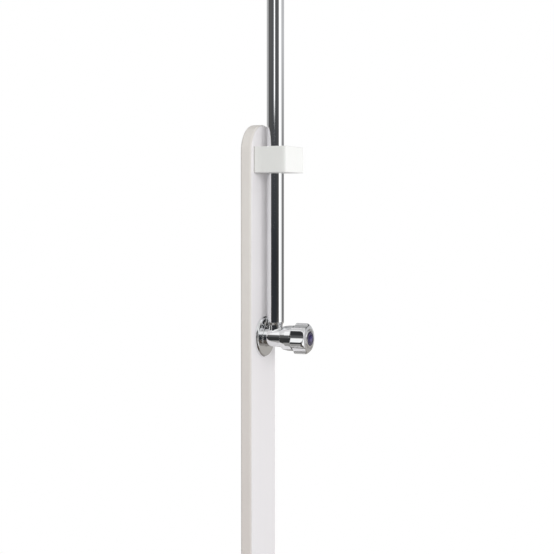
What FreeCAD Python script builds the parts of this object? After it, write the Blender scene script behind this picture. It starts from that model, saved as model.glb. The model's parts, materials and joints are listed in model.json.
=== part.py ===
"""Outdoor shower: white post with a round top, chrome riser, lobed tap and swivelling head.

Millimetres. +Z is up and the front faces -Y. The origin is on the ground, under the middle of
the post.
"""
import FreeCAD, Part
import Sketcher
import math
import os

doc = FreeCAD.newDocument("OutdoorShower")

# Driving dimensions

SIZES = {
    "postWidth": 80, "postThickness": 18, "postAboveClip": 51.1, "postEdgeRadius": 3,
    "baseWidth": 300, "baseDepth": 300, "baseThickness": 8, "baseCornerRadius": 20,
    "baseSetback": 30, "anchorSpacing": 240, "anchorHoleRadius": 5.5,
    "baseEdge": 1, "footPadThickness": 2, "footPadMargin": 2,
    "bracketWidth": 70, "bracketHeight": 95, "bracketFoot": 55, "bracketThickness": 5,
    "bracketBendRadius": 4, "bracketCornerRadius": 10, "bracketScrewSpacing": 44,
    "bracketScrewReach": 35, "bracketBoltLow": 32, "bracketBoltPitch": 40,
    "boltRadius": 4, "boltHeadRadius": 7.5, "boltHeadHeight": 5.3, "boltWasherRadius": 8.5,
    "boltWasherThickness": 1.6, "nutHeight": 6.5, "nutCapHeight": 3, "nutCapRadius": 6,
    "bracketScrewEmbed": 6.5, "driveShare": 0.45, "driveDepthShare": 0.6,
    "clipWidth": 64, "clipDepth": 50, "clipHeight": 37.5, "clipEdgeRadius": 5,
    "clipRimRadius": 1, "clipAboveValve": 257.9, "linerThickness": 1, "linerRecess": 3,
    "clipScrewSpacing": 46, "clipScrewRadius": 3, "clipScrewHeadRadius": 5.5,
    "clipScrewHeadHeight": 3.3, "insertRadius": 4.2, "insertLength": 14, "insertSpare": 2,
    "valveHeight": 1050, "pipeOffset": 19, "pipeDiameter": 25, "pipeWall": 1.5,
    "neckRadius": 10.5, "neckHeight": 22.4, "neckFlare": 3.8, "neckCollarRadius": 12.3,
    "spigotLength": 20, "sealDistance": 13,
    "sealSection": 1.2, "sealGrooveWidth": 1.6, "grubDistance": 6, "grubRadius": 2,
    "grubEmbed": 2.4, "grubDriveDepth": 1.5, "grubDriveRadius": 1.1, "outletRadius": 6.5,
    "couplingHeight": 1600, "collarHeight": 10, "collarRadius": 14, "collarChamfer": 1,
    "bendCentreHeight": 2060, "bendRadius": 125, "armDrop": 30,
    "barrelRadius": 14, "barrelFront": 38, "hubLength": 1.2, "hubRadius": 16.7,
    "shankRadius": 10.48, "shankReach": 14,
    "shankReliefWidth": 1, "shankReliefDepth": 0.6,
    "shankHoleRadius": 11, "flangeRadius": 17, "flangeThickness": 2.6, "gasketThickness": 1,
    "inletRadius": 6, "filterRadius": 7.5, "filterThickness": 2.5, "filterHoleRadius": 1.2,
    "filterHoleCircle": 4.5, "filterHoles": 6, "seatReach": 12, "chamberRadius": 10.5,
    "nutRecessRadius": 18, "nutRecessDepth": 9, "backNutRadius": 15.6, "backNutHeight": 6,
    "backWasherRadius": 16.5, "backWasherThickness": 1.5,
    "roseRadius": 29.7, "roseHeight": 5.2, "roseRound": 3.4, "roseWall": 1,
    "cartridgeSkirtRadius": 8.6, "cavityRadius": 7.2, "cavityLength": 13, "skirtStart": 2,
    "skirtLength": 16, "cartridgeFlangeRadius": 13, "cartridgeFlangeHeight": 4,
    "cartridgeNeckRadius": 8, "cartridgeNeckLength": 9, "frontGasketThickness": 1,
    "windowWidth": 5, "windowHeight": 4, "seatSealThickness": 3, "seatSealBore": 4.6,
    "discRadius": 6.9, "discThickness": 3, "discHoleRadius": 1.8, "discHoleCircle": 3.9,
    "lowerPortAngle": 30, "upperPortAngle": 120,
    "spindleRadius": 4, "spindleFlangeHeight": 3, "spindleSealReach": 34, "spindleGroove": 1.1,
    "spindleSealWidth": 1.4, "clipRingRadius": 6.5, "clipRingThickness": 1, "clipRingGroove": 0.6,
    "bonnetStart": 33, "bonnetRadius": 18.5, "bonnetFlare": 6,
    "bonnetFront": 50, "bonnetEdge": 1,
    "knobGap": 1.7, "knobRadius": 22.3, "knobLength": 23.3, "knobRearChamfer": 1,
    "knobBevelLength": 3, "knobBevelRadius": 19, "knobFaceRise": 2.4, "knobLobes": 6,
    "valleyHalfAngle": 21.3, "valleyDepth": 3.4, "firstValleyAngle": 169.2,
    "knobCavityRadius": 16,
    "knobCavityDepth": 10.3, "knobBossRadius": 7.5, "knobBossGap": 2.3, "knobBossDepth": 14.8,
    "knobScrewRadius": 2.5, "knobScrewHeadRadius": 4.6, "knobScrewHeadHeight": 2.5,
    "knobScrewDepth": 8.5, "knobScrewSpare": 1, "knobScrewDriveDepth": 1.5,
    "knobScrewDriveRadius": 2, "indexRadius": 9.7, "indexRecess": 5, "indexProud": 0.7,
    "indexWall": 1.4, "indexEdge": 0.8,
    "ballRadius": 12.5, "ballDrop": 26, "ballNeckRadius": 6, "ballBoreRadius": 4,
    "shoulderHeight": 6, "ringThickness": 1.4, "ringTopAngle": 50, "ringBottomAngle": 78,
    "nutOpeningAngle": 48, "nutTop": 11.5, "nutRadius": 19, "nutSkirt": 15, "nutEdge": 1.5,
    "nutGrips": 12, "nutGripRadius": 2, "nutGripDepth": 0.8,
    "headNeckRadius": 16, "headNeckWall": 1.5, "headNeckTop": 2, "headSealTopAngle": 105,
    "headSealBottomAngle": 140, "headSealBottom": 12, "headShoulder": 19, "headCrownRadius": 20,
    "headRadius": 75, "headEdgeDrop": 36, "headBottom": 45, "headWall": 2, "headPassage": 6,
    "headFilterThickness": 1.5, "headFilterDrop": 3, "headFilterHoleCircle": 3.3,
    "headOutletRadius": 5,
    "plateThickness": 2.5, "plateLedge": 2, "matThickness": 1.2, "matMargin": 2.3,
    "nozzleRings": 5, "nozzleRingPitch": 12, "nozzleRadius": 1.6, "nozzleProud": 2,
    "nozzlesPerRing": 6,
    "slip": 0.1, "running": 0.05, "boreClearance": 0.4,
}

sheet = doc.addObject("Spreadsheet::Sheet", "Sizes")
for row, (word, number) in enumerate(SIZES.items(), start=1):
    sheet.set(f"A{row}", word)
    sheet.set(f"B{row}", str(number))
    sheet.setAlias(f"B{row}", word)
doc.recompute()


class Size:
    """A number together with the sheet's formula for it."""

    def __init__(self, number, formula):
        self.number = float(number)
        self.formula = formula

    def __add__(self, other):
        other = size(other)
        return Size(self.number + other.number, f"({self.formula} + {other.formula})")

    def __sub__(self, other):
        other = size(other)
        return Size(self.number - other.number, f"({self.formula} - {other.formula})")

    def __mul__(self, other):
        other = size(other)
        return Size(self.number * other.number, f"({self.formula} * {other.formula})")

    def __truediv__(self, other):
        other = size(other)
        return Size(self.number / other.number, f"({self.formula} / {other.formula})")

    def __neg__(self):
        return Size(-self.number, f"(0 - {self.formula})")

    def __radd__(self, other):
        return size(other) + self

    def __rsub__(self, other):
        return size(other) - self

    def __rmul__(self, other):
        return size(other) * self


def size(value):
    """A sheet size by its name, or a plain number as a Size."""
    if isinstance(value, Size):
        return value
    if isinstance(value, str):
        return Size(SIZES[value], f"Sizes.{value}")
    return Size(value, repr(float(value)))


def sine(angle):
    angle = size(angle)
    return Size(math.sin(math.radians(angle.number)), f"sin({angle.formula})")


def cosine(angle):
    angle = size(angle)
    return Size(math.cos(math.radians(angle.number)), f"cos({angle.formula})")


def root(value):
    return Size(math.sqrt(value.number), f"sqrt({value.formula})")


def leg(long_side, short_side):
    """The other short side of a right-angled triangle."""
    return root(size(long_side) * long_side - size(short_side) * short_side)


def bind(item, path, value):
    """Ties a property to the sheet."""
    item.setExpression(path, size(value).formula)


# Places that several pieces share

ZERO = size(0)
post_front = -size("postThickness") / 2
post_back = size("postThickness") / 2
post_foot = size("baseThickness") + "footPadThickness"
pipe_radius = size("pipeDiameter") / 2
pipe_bore = pipe_radius - "pipeWall"
spigot_radius = pipe_bore - "slip"
spigot_bore = size("outletRadius")
pipe_y = post_front - "pipeOffset"
riser_foot = size("valveHeight") + "neckHeight"
upper_foot = size("couplingHeight") + "collarHeight"
head_y = pipe_y - size("bendRadius") * 2
arm_end = size("bendCentreHeight") - "armDrop"
ball_z = arm_end - "ballDrop"
liner_bore = pipe_radius + "slip"
liner_radius = liner_bore + "linerThickness"
clip_z = size("valveHeight") + "clipAboveValve"
shank_rear = -size("postThickness") - "shankReach"
nut_floor = size("nutRecessDepth") - "postThickness"
washer_rear = nut_floor - "backWasherThickness"
nut_rear = washer_rear - "backNutHeight"
flange_front = size("gasketThickness") + "flangeThickness"
hub_front = size("bonnetStart") - "running"
spindle_hole = size("spindleRadius") + "slip"
skirt_rear = size("seatReach") + "skirtStart"
skirt_front = skirt_rear + "skirtLength"
cavity_front = skirt_rear + "cavityLength"
lower_disc_rear = size("seatReach") + "seatSealThickness"
upper_disc_rear = lower_disc_rear + "discThickness"
spindle_rear = upper_disc_rear + "discThickness"
spindle_shoulder = spindle_rear + "spindleFlangeHeight"
cartridge_flange = size("barrelFront") + "frontGasketThickness"
cartridge_neck = cartridge_flange + "cartridgeFlangeHeight"
cartridge_front = cartridge_neck + "cartridgeNeckLength"
knob_rear = size("bonnetFront") + "knobGap"
knob_front = knob_rear + "knobLength"
index_floor = knob_front - "indexRecess"
spindle_front = knob_rear + "knobBossDepth"
ring_inner = size("ballRadius") + "running"
ring_outer = ring_inner + "ringThickness"
nut_sphere = ring_outer + "running"
head_seal_sphere = size("ballRadius") + "slip"
plate_top = size("plateThickness") - "headBottom"
plate_radius = size("headRadius") - "headWall" - "slip"

FRONTWARD = FreeCAD.Rotation(FreeCAD.Vector(1, 0, 0), 90)
BACKWARD = FreeCAD.Rotation(FreeCAD.Vector(1, 0, 0), -90)
SIDEWAYS = FreeCAD.Rotation(FreeCAD.Vector(0, 1, 0), 90)
DOWNWARD = FreeCAD.Rotation(FreeCAD.Vector(1, 0, 0), 180)
UPWARD = FreeCAD.Rotation()
TURNED = FreeCAD.Rotation(FreeCAD.Vector(0, 0, 1), 180)
on_valve_axis = (ZERO, post_front, size("valveHeight"))

HEXAGON = 6
HALF_TURN = 180
WHOLE_TURN = 360
PAST = 1  # how far a cutting shape reaches past what it cuts
TOLERANCE = 1e-4

sub_parts = []


def place(item, base, rotation=UPWARD):
    """Puts an item at a point tied to the sheet, turned by a fixed rotation."""
    item.Placement = FreeCAD.Placement(FreeCAD.Vector(*(size(v).number for v in base)), rotation)
    for letter, value in zip("xyz", base):
        bind(item, f".Placement.Base.{letter}", value)


def named(item, label):
    """Gives a finished sub-part its name and lists it."""
    item.Label = label
    sub_parts.append(item)
    return item


# Bodies made from sketches

def new_body(label, base, rotation=UPWARD):
    body = doc.addObject("PartDesign::Body", "Body_" + label)
    place(body, base, rotation)
    return named(body, label)


def new_sketch(body, role, height=None):
    """An empty sketch on one of the body's own planes, lifted off it by a height."""
    sketch = body.newObject("Sketcher::SketchObject", body.Name + "_sketch")
    plane = next(f for f in body.Origin.OriginFeatures if f.Role == role)
    sketch.AttachmentSupport = [(plane, "")]
    sketch.MapMode = "FlatFace"
    if height is not None:
        bind(sketch, ".AttachmentOffset.Base.z", height)
    return sketch


def fix_point(sketch, geometry, end, point):
    """Ties one point of a sketch to its two sizes."""
    for kind, axis, value in (("DistanceX", -2, point[0]), ("DistanceY", -1, point[1])):
        fix_coordinate(sketch, geometry, end, kind, axis, value)


def fix_coordinate(sketch, geometry, end, kind, axis, value):
    if value is ZERO:
        sketch.addConstraint(Sketcher.Constraint("PointOnObject", geometry, end, axis))
        return
    index = sketch.addConstraint(Sketcher.Constraint(kind, geometry, end, value.number))
    bind(sketch, f"Constraints[{index}]", value)


def vector(point):
    return FreeCAD.Vector(point[0].number, point[1].number, 0)


def outline(sketch, corners):
    """Draws a closed outline through (across, up) corners.

    A corner may add an arc's centre and its turn, 1 anticlockwise or -1 clockwise: the edge from
    it to the next corner is then that arc.
    """
    corners = [(size(c[0]) if c[0] != 0 else ZERO, size(c[1]) if c[1] != 0 else ZERO) + tuple(c[2:])
               for c in corners]
    ends = []
    for index, corner in enumerate(corners):
        start = vector(corner)
        stop_corner = corners[(index + 1) % len(corners)]
        stop = vector(stop_corner)
        if len(corner) == 2:
            geometry = sketch.addGeometry(Part.LineSegment(start, stop), False)
            ends.append((geometry, 1, 2))
            continue
        centre, turn = corner[2], corner[3]
        middle = vector(centre)
        first, last = (start, stop) if turn > 0 else (stop, start)
        angles = [math.atan2(p.y - middle.y, p.x - middle.x) for p in (first, last)]
        if angles[1] <= angles[0]:
            angles[1] += 2 * math.pi
        circle = Part.Circle(middle, FreeCAD.Vector(0, 0, 1), (start - middle).Length)
        geometry = sketch.addGeometry(Part.ArcOfCircle(circle, *angles), False)
        ends.append((geometry, 1, 2) if turn > 0 else (geometry, 2, 1))
        chord = stop - start
        if abs(chord.x) > abs(chord.y):
            fix_coordinate(sketch, geometry, 3, "DistanceY", -1, centre[1])
        else:
            fix_coordinate(sketch, geometry, 3, "DistanceX", -2, centre[0])
    for index, (geometry, first, last) in enumerate(ends):
        following = ends[(index + 1) % len(ends)]
        sketch.addConstraint(
            Sketcher.Constraint("Coincident", geometry, last, following[0], following[1]))
        fix_point(sketch, geometry, first, corners[index])


def circle(sketch, across, up, radius):
    """Draws a circle with its centre and radius tied to sizes."""
    centre = (size(across) if across != 0 else ZERO, size(up) if up != 0 else ZERO)
    radius = size(radius)
    round_edge = Part.Circle(vector(centre), FreeCAD.Vector(0, 0, 1), radius.number)
    geometry = sketch.addGeometry(round_edge, False)
    fix_point(sketch, geometry, 3, centre)
    index = sketch.addConstraint(Sketcher.Constraint("Radius", geometry, radius.number))
    bind(sketch, f"Constraints[{index}]", radius)


def rectangle(sketch, left, low, right, high):
    outline(sketch, [(left, low), (right, low), (right, high), (left, high)])


def feature(body, kind, sketch, reverse=False):
    item = body.newObject("PartDesign::" + kind, body.Name + "_" + kind)
    item.Profile = sketch
    item.Reversed = reverse
    return item


def pad(body, sketch, length, reverse=False, both_ways=False):
    item = feature(body, "Pad", sketch, reverse)
    bind(item, "Length", length)
    item.SideType = "Symmetric" if both_ways else "One side"
    doc.recompute()
    return item


def pocket(body, sketch, length, reverse=False, both_ways=False):
    """Cuts a sketch into the body and makes sure that it removed something."""
    before = body.Shape.Volume
    item = feature(body, "Pocket", sketch, reverse)
    bind(item, "Length", length)
    item.SideType = "Symmetric" if both_ways else "One side"
    doc.recompute()
    if not item.Shape.Volume < before:
        raise RuntimeError("a pocket cuts nothing: " + body.Label)
    return item


def revolve(body, sketch, axis="V_Axis", angle=WHOLE_TURN):
    item = feature(body, "Revolution", sketch)
    item.ReferenceAxis = (sketch, [axis])
    item.Angle = angle
    doc.recompute()
    return item


def groove(body, sketch, axis="V_Axis"):
    before = body.Shape.Volume
    item = feature(body, "Groove", sketch)
    item.ReferenceAxis = (sketch, [axis])
    item.Angle = WHOLE_TURN
    doc.recompute()
    if not item.Shape.Volume < before:
        raise RuntimeError("a groove cuts nothing: " + body.Label)
    return item


def repeat_round(body, item, count):
    """Repeats a feature evenly about the body's upright axis."""
    pattern = body.newObject("PartDesign::PolarPattern", body.Name + "_pattern")
    pattern.Originals = [item]
    axis = next(f for f in body.Origin.OriginFeatures if f.Role == "Z_Axis")
    pattern.Axis = (axis, [""])
    pattern.Angle = WHOLE_TURN
    bind(pattern, "Occurrences", count)
    body.Tip = pattern
    doc.recompute()
    return pattern


def soften(body, kind, chosen, amount):
    """Rounds or chamfers the edges of the body that a test picks out."""
    base = body.Tip
    names = [f"Edge{n}" for n, edge in enumerate(base.Shape.Edges, start=1) if chosen(edge)]
    item = body.newObject("PartDesign::" + kind, body.Name + "_" + kind)
    item.Base = (base, names)
    bind(item, "Radius" if kind == "Fillet" else "Size", amount)
    doc.recompute()
    return item


def every(edge, test):
    """True when a test holds at the ends and the middle of an edge."""
    middle = edge.valueAt((edge.FirstParameter + edge.LastParameter) / 2)
    return all(test(point) for point in [vertex.Point for vertex in edge.Vertexes] + [middle])


def near(value, wanted):
    return abs(value - size(wanted).number) < TOLERANCE


def turned(label, base, rotation, corners):
    """A piece turned about its own upright axis from (radius, height) corners."""
    body = new_body(label, base, rotation)
    sketch = new_sketch(body, "XZ_Plane")
    outline(sketch, corners)
    revolve(body, sketch)
    return body


def ring_corners(inner, outer, low, high):
    return [(inner, low), (outer, low), (outer, high), (inner, high)]


# Simple solids for fasteners and seals

DIRECTIONS = {
    "+X": (SIDEWAYS, (1, 0, 0)),
    "+Y": (BACKWARD, (0, 1, 0)),
    "-Y": (FRONTWARD, (0, -1, 0)),
    "+Z": (UPWARD, (0, 0, 1)),
    "-Z": (DOWNWARD, (0, 0, -1)),
}


def rod(name, at, way, start, length, radius, sides=0):
    """A cylinder, or a prism with sides, along a direction from a point."""
    rotation, unit = DIRECTIONS[way]
    item = doc.addObject("Part::Prism" if sides else "Part::Cylinder", name)
    if sides:
        item.Polygon = sides
    bind(item, "Circumradius" if sides else "Radius", radius)
    bind(item, "Height", length)
    base = [size(v) + size(start) * step for v, step in zip(at, unit)]
    place(item, base, rotation)
    return item


def joined(name, shapes):
    item = doc.addObject("Part::MultiFuse", name)
    item.Shapes = shapes
    return item


def cut(name, base, tool):
    item = doc.addObject("Part::Cut", name)
    item.Base = base
    item.Tool = tool
    return item


def group(label, solids):
    item = doc.addObject("Part::Compound", "Group_" + label)
    item.Links = solids
    return named(item, label)


def washer(name, at, way, start, thickness, outer, inner):
    disc = rod(name + "_disc", at, way, start, thickness, outer)
    hole = rod(name + "_hole", at, way, size(start) - PAST, size(thickness) + PAST * 2, inner)
    return cut(name, disc, hole)


def screw(name, at, way, head_radius, head_height, shaft_radius, shaft_length, sides=0):
    """A screw whose head stands behind the point and whose shaft goes forward from it."""
    head = rod(name + "_head", at, way, -size(head_height), head_height, head_radius, sides)
    shaft = rod(name + "_shaft", at, way, 0, shaft_length, shaft_radius)
    solid = joined(name + "_solid", [head, shaft])
    if sides:
        return solid
    drive = rod(name + "_drive", at, way, -size(head_height),
                size(head_height) * "driveDepthShare", size(head_radius) * "driveShare", HEXAGON)
    return cut(name, solid, drive)


def grub_screw(name, at):
    """A grub screw through the back of a pipe joint, on the right-hand side."""
    start = spigot_radius - "grubEmbed"
    length = pipe_radius - start - "running"
    stud = rod(name + "_stud", at, "+X", start, length, "grubRadius")
    drive = rod(name + "_drive", at, "+X", pipe_radius - "grubDriveDepth", "grubDriveDepth",
                "grubDriveRadius", HEXAGON)
    return cut(name, stud, drive)


def seal_ring(name, at, groove_floor, bore):
    """A ring of round section between a groove's floor and the bore around it."""
    section = (bore - groove_floor) / 2 - "running"
    item = doc.addObject("Part::Torus", name)
    bind(item, "Radius1", (bore + groove_floor) / 2)
    bind(item, "Radius2", section)
    place(item, at)
    return item


# Foot

def base_plate():
    body = new_body("base_plate", (ZERO, -size("baseSetback"), ZERO))
    half_width = size("baseWidth") / 2
    half_depth = size("baseDepth") / 2
    sketch = new_sketch(body, "XY_Plane")
    rectangle(sketch, -half_width, -half_depth, half_width, half_depth)
    pad(body, sketch, "baseThickness")
    soften(body, "Fillet", lambda e: every(e, lambda p: near(abs(p.x), half_width)
                                           and near(abs(p.y), half_depth)), "baseCornerRadius")
    soften(body, "Chamfer", lambda e: every(e, lambda p: near(p.z, "baseThickness")),
           "baseEdge")
    holes = new_sketch(body, "XY_Plane")
    anchor = size("anchorSpacing") / 2
    reach = size("postThickness") / 2 + "bracketScrewReach"
    across = size("bracketScrewSpacing") / 2
    for side in (-1, 1):
        for end in (-1, 1):
            circle(holes, anchor * side, anchor * end, "anchorHoleRadius")
            circle(holes, across * side, size("baseSetback") + reach * end,
                   size("boltRadius") + "slip")
    pocket(body, holes, "baseThickness", reverse=True)


def foot_pad():
    width = size("postWidth") - size("footPadMargin") * 2
    depth = size("postThickness") - size("footPadMargin") * 2
    pad_box = doc.addObject("Part::Box", "Foot_pad")
    bind(pad_box, "Length", width)
    bind(pad_box, "Width", depth)
    bind(pad_box, "Height", "footPadThickness")
    place(pad_box, (-width / 2, -depth / 2, size("baseThickness")))
    named(pad_box, "foot_pad")


def bracket(label, y, rotation):
    """One of the two angle brackets that hold the post's foot, upright against the post."""
    body = new_body(label, (ZERO, y, size("baseThickness")), rotation)
    wall = size("bracketThickness")
    profile = new_sketch(body, "YZ_Plane")
    outline(profile, [(0, 0), (0, "bracketHeight"), (-wall, "bracketHeight"), (-wall, wall),
                      (-size("bracketFoot"), wall), (-size("bracketFoot"), 0)])
    pad(body, profile, "bracketWidth", both_ways=True)
    soften(body, "Fillet", lambda e: every(e, lambda p: near(p.y, -wall) and near(p.z, wall)),
           "bracketBendRadius")
    half = size("bracketWidth") / 2
    soften(body, "Fillet", lambda e: every(e, lambda p: near(abs(p.x), half)
                                           and near(p.z, "bracketHeight")), "bracketCornerRadius")
    soften(body, "Fillet", lambda e: every(e, lambda p: near(abs(p.x), half)
                                           and near(p.y, -size("bracketFoot"))),
           "bracketCornerRadius")
    bolt_holes = new_sketch(body, "XZ_Plane")
    for step in (0, 1):
        circle(bolt_holes, 0, size("bracketBoltLow") + size("bracketBoltPitch") * step,
               size("boltRadius") + "boreClearance")
    pocket(body, bolt_holes, "bracketFoot", both_ways=True)
    screw_holes = new_sketch(body, "XY_Plane")
    for side in (-1, 1):
        circle(screw_holes, size("bracketScrewSpacing") / 2 * side, -size("bracketScrewReach"),
               size("boltRadius") + "boreClearance")
    pocket(body, screw_holes, "bracketHeight", both_ways=True)


def bracket_screws():
    height = size("baseThickness") + "bracketThickness"
    solids = []
    for side in (-1, 1):
        for end in (-1, 1):
            at = (size("bracketScrewSpacing") / 2 * side,
                  (size("postThickness") / 2 + "bracketScrewReach") * end, height)
            solids.append(screw(f"Bracket_screw_{side + 1}_{end + 1}", at, "-Z", "boltHeadRadius",
                                "boltHeadHeight", "boltRadius",
                                size("bracketThickness") + "bracketScrewEmbed"))
    group("bracket_screws", solids)


def post_bolts():
    """The two through bolts of the foot, with their washers and domed nuts."""
    outside = size("postThickness") / 2 + "bracketThickness"
    washer_face = outside + "boltWasherThickness"
    bolts, washers, nuts = [], [], []
    for step in (0, 1):
        height = size("baseThickness") + "bracketBoltLow" + size("bracketBoltPitch") * step
        at = (ZERO, -washer_face, height)
        reach = washer_face * 2 + "nutHeight"
        bolts.append(screw(f"Post_bolt_{step}", at, "+Y", "boltHeadRadius", "boltHeadHeight",
                           "boltRadius", reach, sides=HEXAGON))
        middle = (ZERO, ZERO, height)
        for way in ("+Y", "-Y"):
            washers.append(washer(f"Post_washer_{step}_{way[0] == '+'}", middle, way, outside,
                                  "boltWasherThickness", "boltWasherRadius",
                                  size("boltRadius") + "boreClearance"))
        hexagon = rod(f"Post_nut_hexagon_{step}", middle, "+Y", washer_face, "nutHeight",
                      "boltHeadRadius", HEXAGON)
        cap = rod(f"Post_nut_cap_{step}", middle, "+Y", washer_face + "nutHeight", "nutCapHeight",
                  "nutCapRadius")
        whole = joined(f"Post_nut_whole_{step}", [hexagon, cap])
        hole = rod(f"Post_nut_hole_{step}", middle, "+Y", washer_face - PAST,
                   size("nutHeight") + PAST + "running", size("boltRadius") + "slip")
        nuts.append(cut(f"Post_nut_{step}", whole, hole))
    group("post_bolts", bolts)
    group("post_washers", washers)
    group("post_nuts", nuts)


# Post and clip

def post():
    body = new_body("post", (ZERO, ZERO, ZERO))
    half = size("postWidth") / 2
    arch = clip_z + "postAboveClip" - half
    face = new_sketch(body, "XZ_Plane")
    outline(face, [(-half, post_foot), (half, post_foot), (half, arch, (ZERO, arch), 1),
                   (-half, arch)])
    pad(body, face, "postThickness", both_ways=True)
    soften(body, "Fillet", lambda e: every(e, lambda p: near(abs(p.y), post_back)),
           "postEdgeRadius")
    holes = new_sketch(body, "XZ_Plane")
    circle(holes, 0, "valveHeight", "shankHoleRadius")
    for side in (-1, 1):
        circle(holes, size("clipScrewSpacing") / 2 * side, clip_z,
               size("clipScrewRadius") + "boreClearance")
    for step in (0, 1):
        circle(holes, 0,
               size("baseThickness") + "bracketBoltLow" + size("bracketBoltPitch") * step,
               size("boltRadius") + "boreClearance")
    pocket(body, holes, size("postThickness") * 2, both_ways=True)
    recess = new_sketch(body, "XZ_Plane", -post_back)
    circle(recess, 0, "valveHeight", "nutRecessRadius")
    pocket(body, recess, "nutRecessDepth", reverse=True)


def clip_block():
    body = new_body("clip_block", (ZERO, post_front, clip_z))
    half = size("clipWidth") / 2
    tall = size("clipHeight") / 2
    plan = new_sketch(body, "XY_Plane")
    rectangle(plan, -half, -size("clipDepth"), half, 0)
    pad(body, plan, "clipHeight", both_ways=True)
    soften(body, "Fillet", lambda e: every(e, lambda p: near(abs(p.x), half)
                                           and near(p.y, -size("clipDepth"))), "clipEdgeRadius")
    soften(body, "Fillet", lambda e: every(e, lambda p: near(abs(p.z), tall))
           and not every(e, lambda p: near(p.y, 0)), "clipRimRadius")
    bore = new_sketch(body, "XY_Plane")
    circle(bore, 0, -size("pipeOffset"), liner_radius + "slip")
    pocket(body, bore, size("clipHeight") * 2, both_ways=True)
    sockets = new_sketch(body, "XZ_Plane")
    for side in (-1, 1):
        circle(sockets, size("clipScrewSpacing") / 2 * side, 0, size("insertRadius") + "slip")
    pocket(body, sockets, size("insertLength") + "insertSpare", reverse=True)


def clip_hardware():
    """The grip sleeve round the pipe, and the inserts and screws that hold the block."""
    tall = size("clipHeight") / 2 - "linerRecess"
    turned("clip_liner", (ZERO, pipe_y, clip_z), UPWARD,
           ring_corners(liner_bore, liner_radius, -tall, tall))
    inserts, screws = [], []
    for side in (-1, 1):
        across = size("clipScrewSpacing") / 2 * side
        inserts.append(washer(f"Clip_insert_{side + 1}", (across, post_front, clip_z), "-Y", 0,
                              "insertLength", "insertRadius", size("clipScrewRadius") + "slip"))
        screws.append(screw(f"Clip_screw_{side + 1}", (across, post_back, clip_z), "-Y",
                            "clipScrewHeadRadius", "clipScrewHeadHeight", "clipScrewRadius",
                            size("postThickness") + "insertLength"))
    group("clip_inserts", inserts)
    group("clip_screws", screws)


# Riser and gooseneck

def pipe_hole(body, height, across=ZERO):
    """The hole for a grub screw in the right-hand wall of a pipe."""
    sketch = new_sketch(body, "YZ_Plane")
    circle(sketch, across, height, size("grubRadius") + "slip")
    pocket(body, sketch, size("pipeDiameter"), reverse=True)


def riser_lower():
    body = new_body("riser_lower", (ZERO, pipe_y, riser_foot))
    length = size("couplingHeight") - riser_foot
    section = new_sketch(body, "XY_Plane")
    circle(section, 0, 0, pipe_radius)
    circle(section, 0, 0, pipe_bore)
    pad(body, section, length)
    pipe_hole(body, size("grubDistance"))
    pipe_hole(body, length - "grubDistance")


def upper_pipe():
    body = new_body("upper_pipe", (ZERO, pipe_y - "bendRadius", size("bendCentreHeight")))
    legs = ((size("bendRadius"), size("bendCentreHeight") - upper_foot),
            (-size("bendRadius"), size("armDrop")))
    bend = new_sketch(body, "XY_Plane")
    circle(bend, 0, "bendRadius", pipe_radius)
    circle(bend, 0, "bendRadius", pipe_bore)
    revolve(body, bend, "H_Axis", HALF_TURN)
    for y, length in legs:
        leg_section = new_sketch(body, "XY_Plane")
        circle(leg_section, 0, y, pipe_radius)
        circle(leg_section, 0, y, pipe_bore)
        pad(body, leg_section, length, reverse=True)
    for y, length in legs:
        pipe_hole(body, size("grubDistance") - length, y)


def spigot_corners(foot, up):
    """Half of a push-in pipe end with its seal groove, from its collar to its tip."""
    seal = foot + size("sealDistance") * up
    half_groove = size("sealGrooveWidth") / 2 * up
    floor = spigot_radius - "sealSection"
    return [(spigot_radius, foot), (spigot_radius, seal - half_groove), (floor, seal - half_groove),
            (floor, seal + half_groove), (spigot_radius, seal + half_groove),
            (spigot_radius, foot + size("spigotLength") * up),
            (spigot_bore, foot + size("spigotLength") * up)]


def spigot_seal(name, x, y, foot, up):
    return seal_ring(name, (x, y, foot + size("sealDistance") * up),
                     spigot_radius - "sealSection", pipe_bore)


def spigot_grub_hole(body, height):
    sketch = new_sketch(body, "YZ_Plane", spigot_radius - "grubEmbed" - "running")
    circle(sketch, 0, height, size("grubRadius") + "slip")
    pocket(body, sketch, size("grubEmbed") * 2, reverse=True)


def riser_coupling():
    height = size("collarHeight")
    lower = spigot_corners(ZERO, -1)
    upper = spigot_corners(height, 1)
    corners = list(reversed(lower)) + [(size("collarRadius"), ZERO), (size("collarRadius"), height)]
    body = turned("riser_coupling", (ZERO, pipe_y, size("couplingHeight")), UPWARD, corners + upper)
    soften(body, "Chamfer", lambda e: every(e, lambda p: near(math.hypot(p.x, p.y), "collarRadius"))
           and len(e.Vertexes) == 1, "collarChamfer")
    spigot_grub_hole(body, -size("grubDistance"))
    spigot_grub_hole(body, height + "grubDistance")
    seals, screws = [], []
    for number, foot, up in ((0, size("couplingHeight"), -1), (1, upper_foot, 1)):
        seals.append(spigot_seal(f"Coupling_seal_{number}", ZERO, pipe_y, foot, up))
        screws.append(grub_screw(f"Coupling_screw_{number}",
                                 (ZERO, pipe_y, foot + size("grubDistance") * up)))
    group("coupling_seals", seals)
    group("coupling_screws", screws)


# Tap

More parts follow.
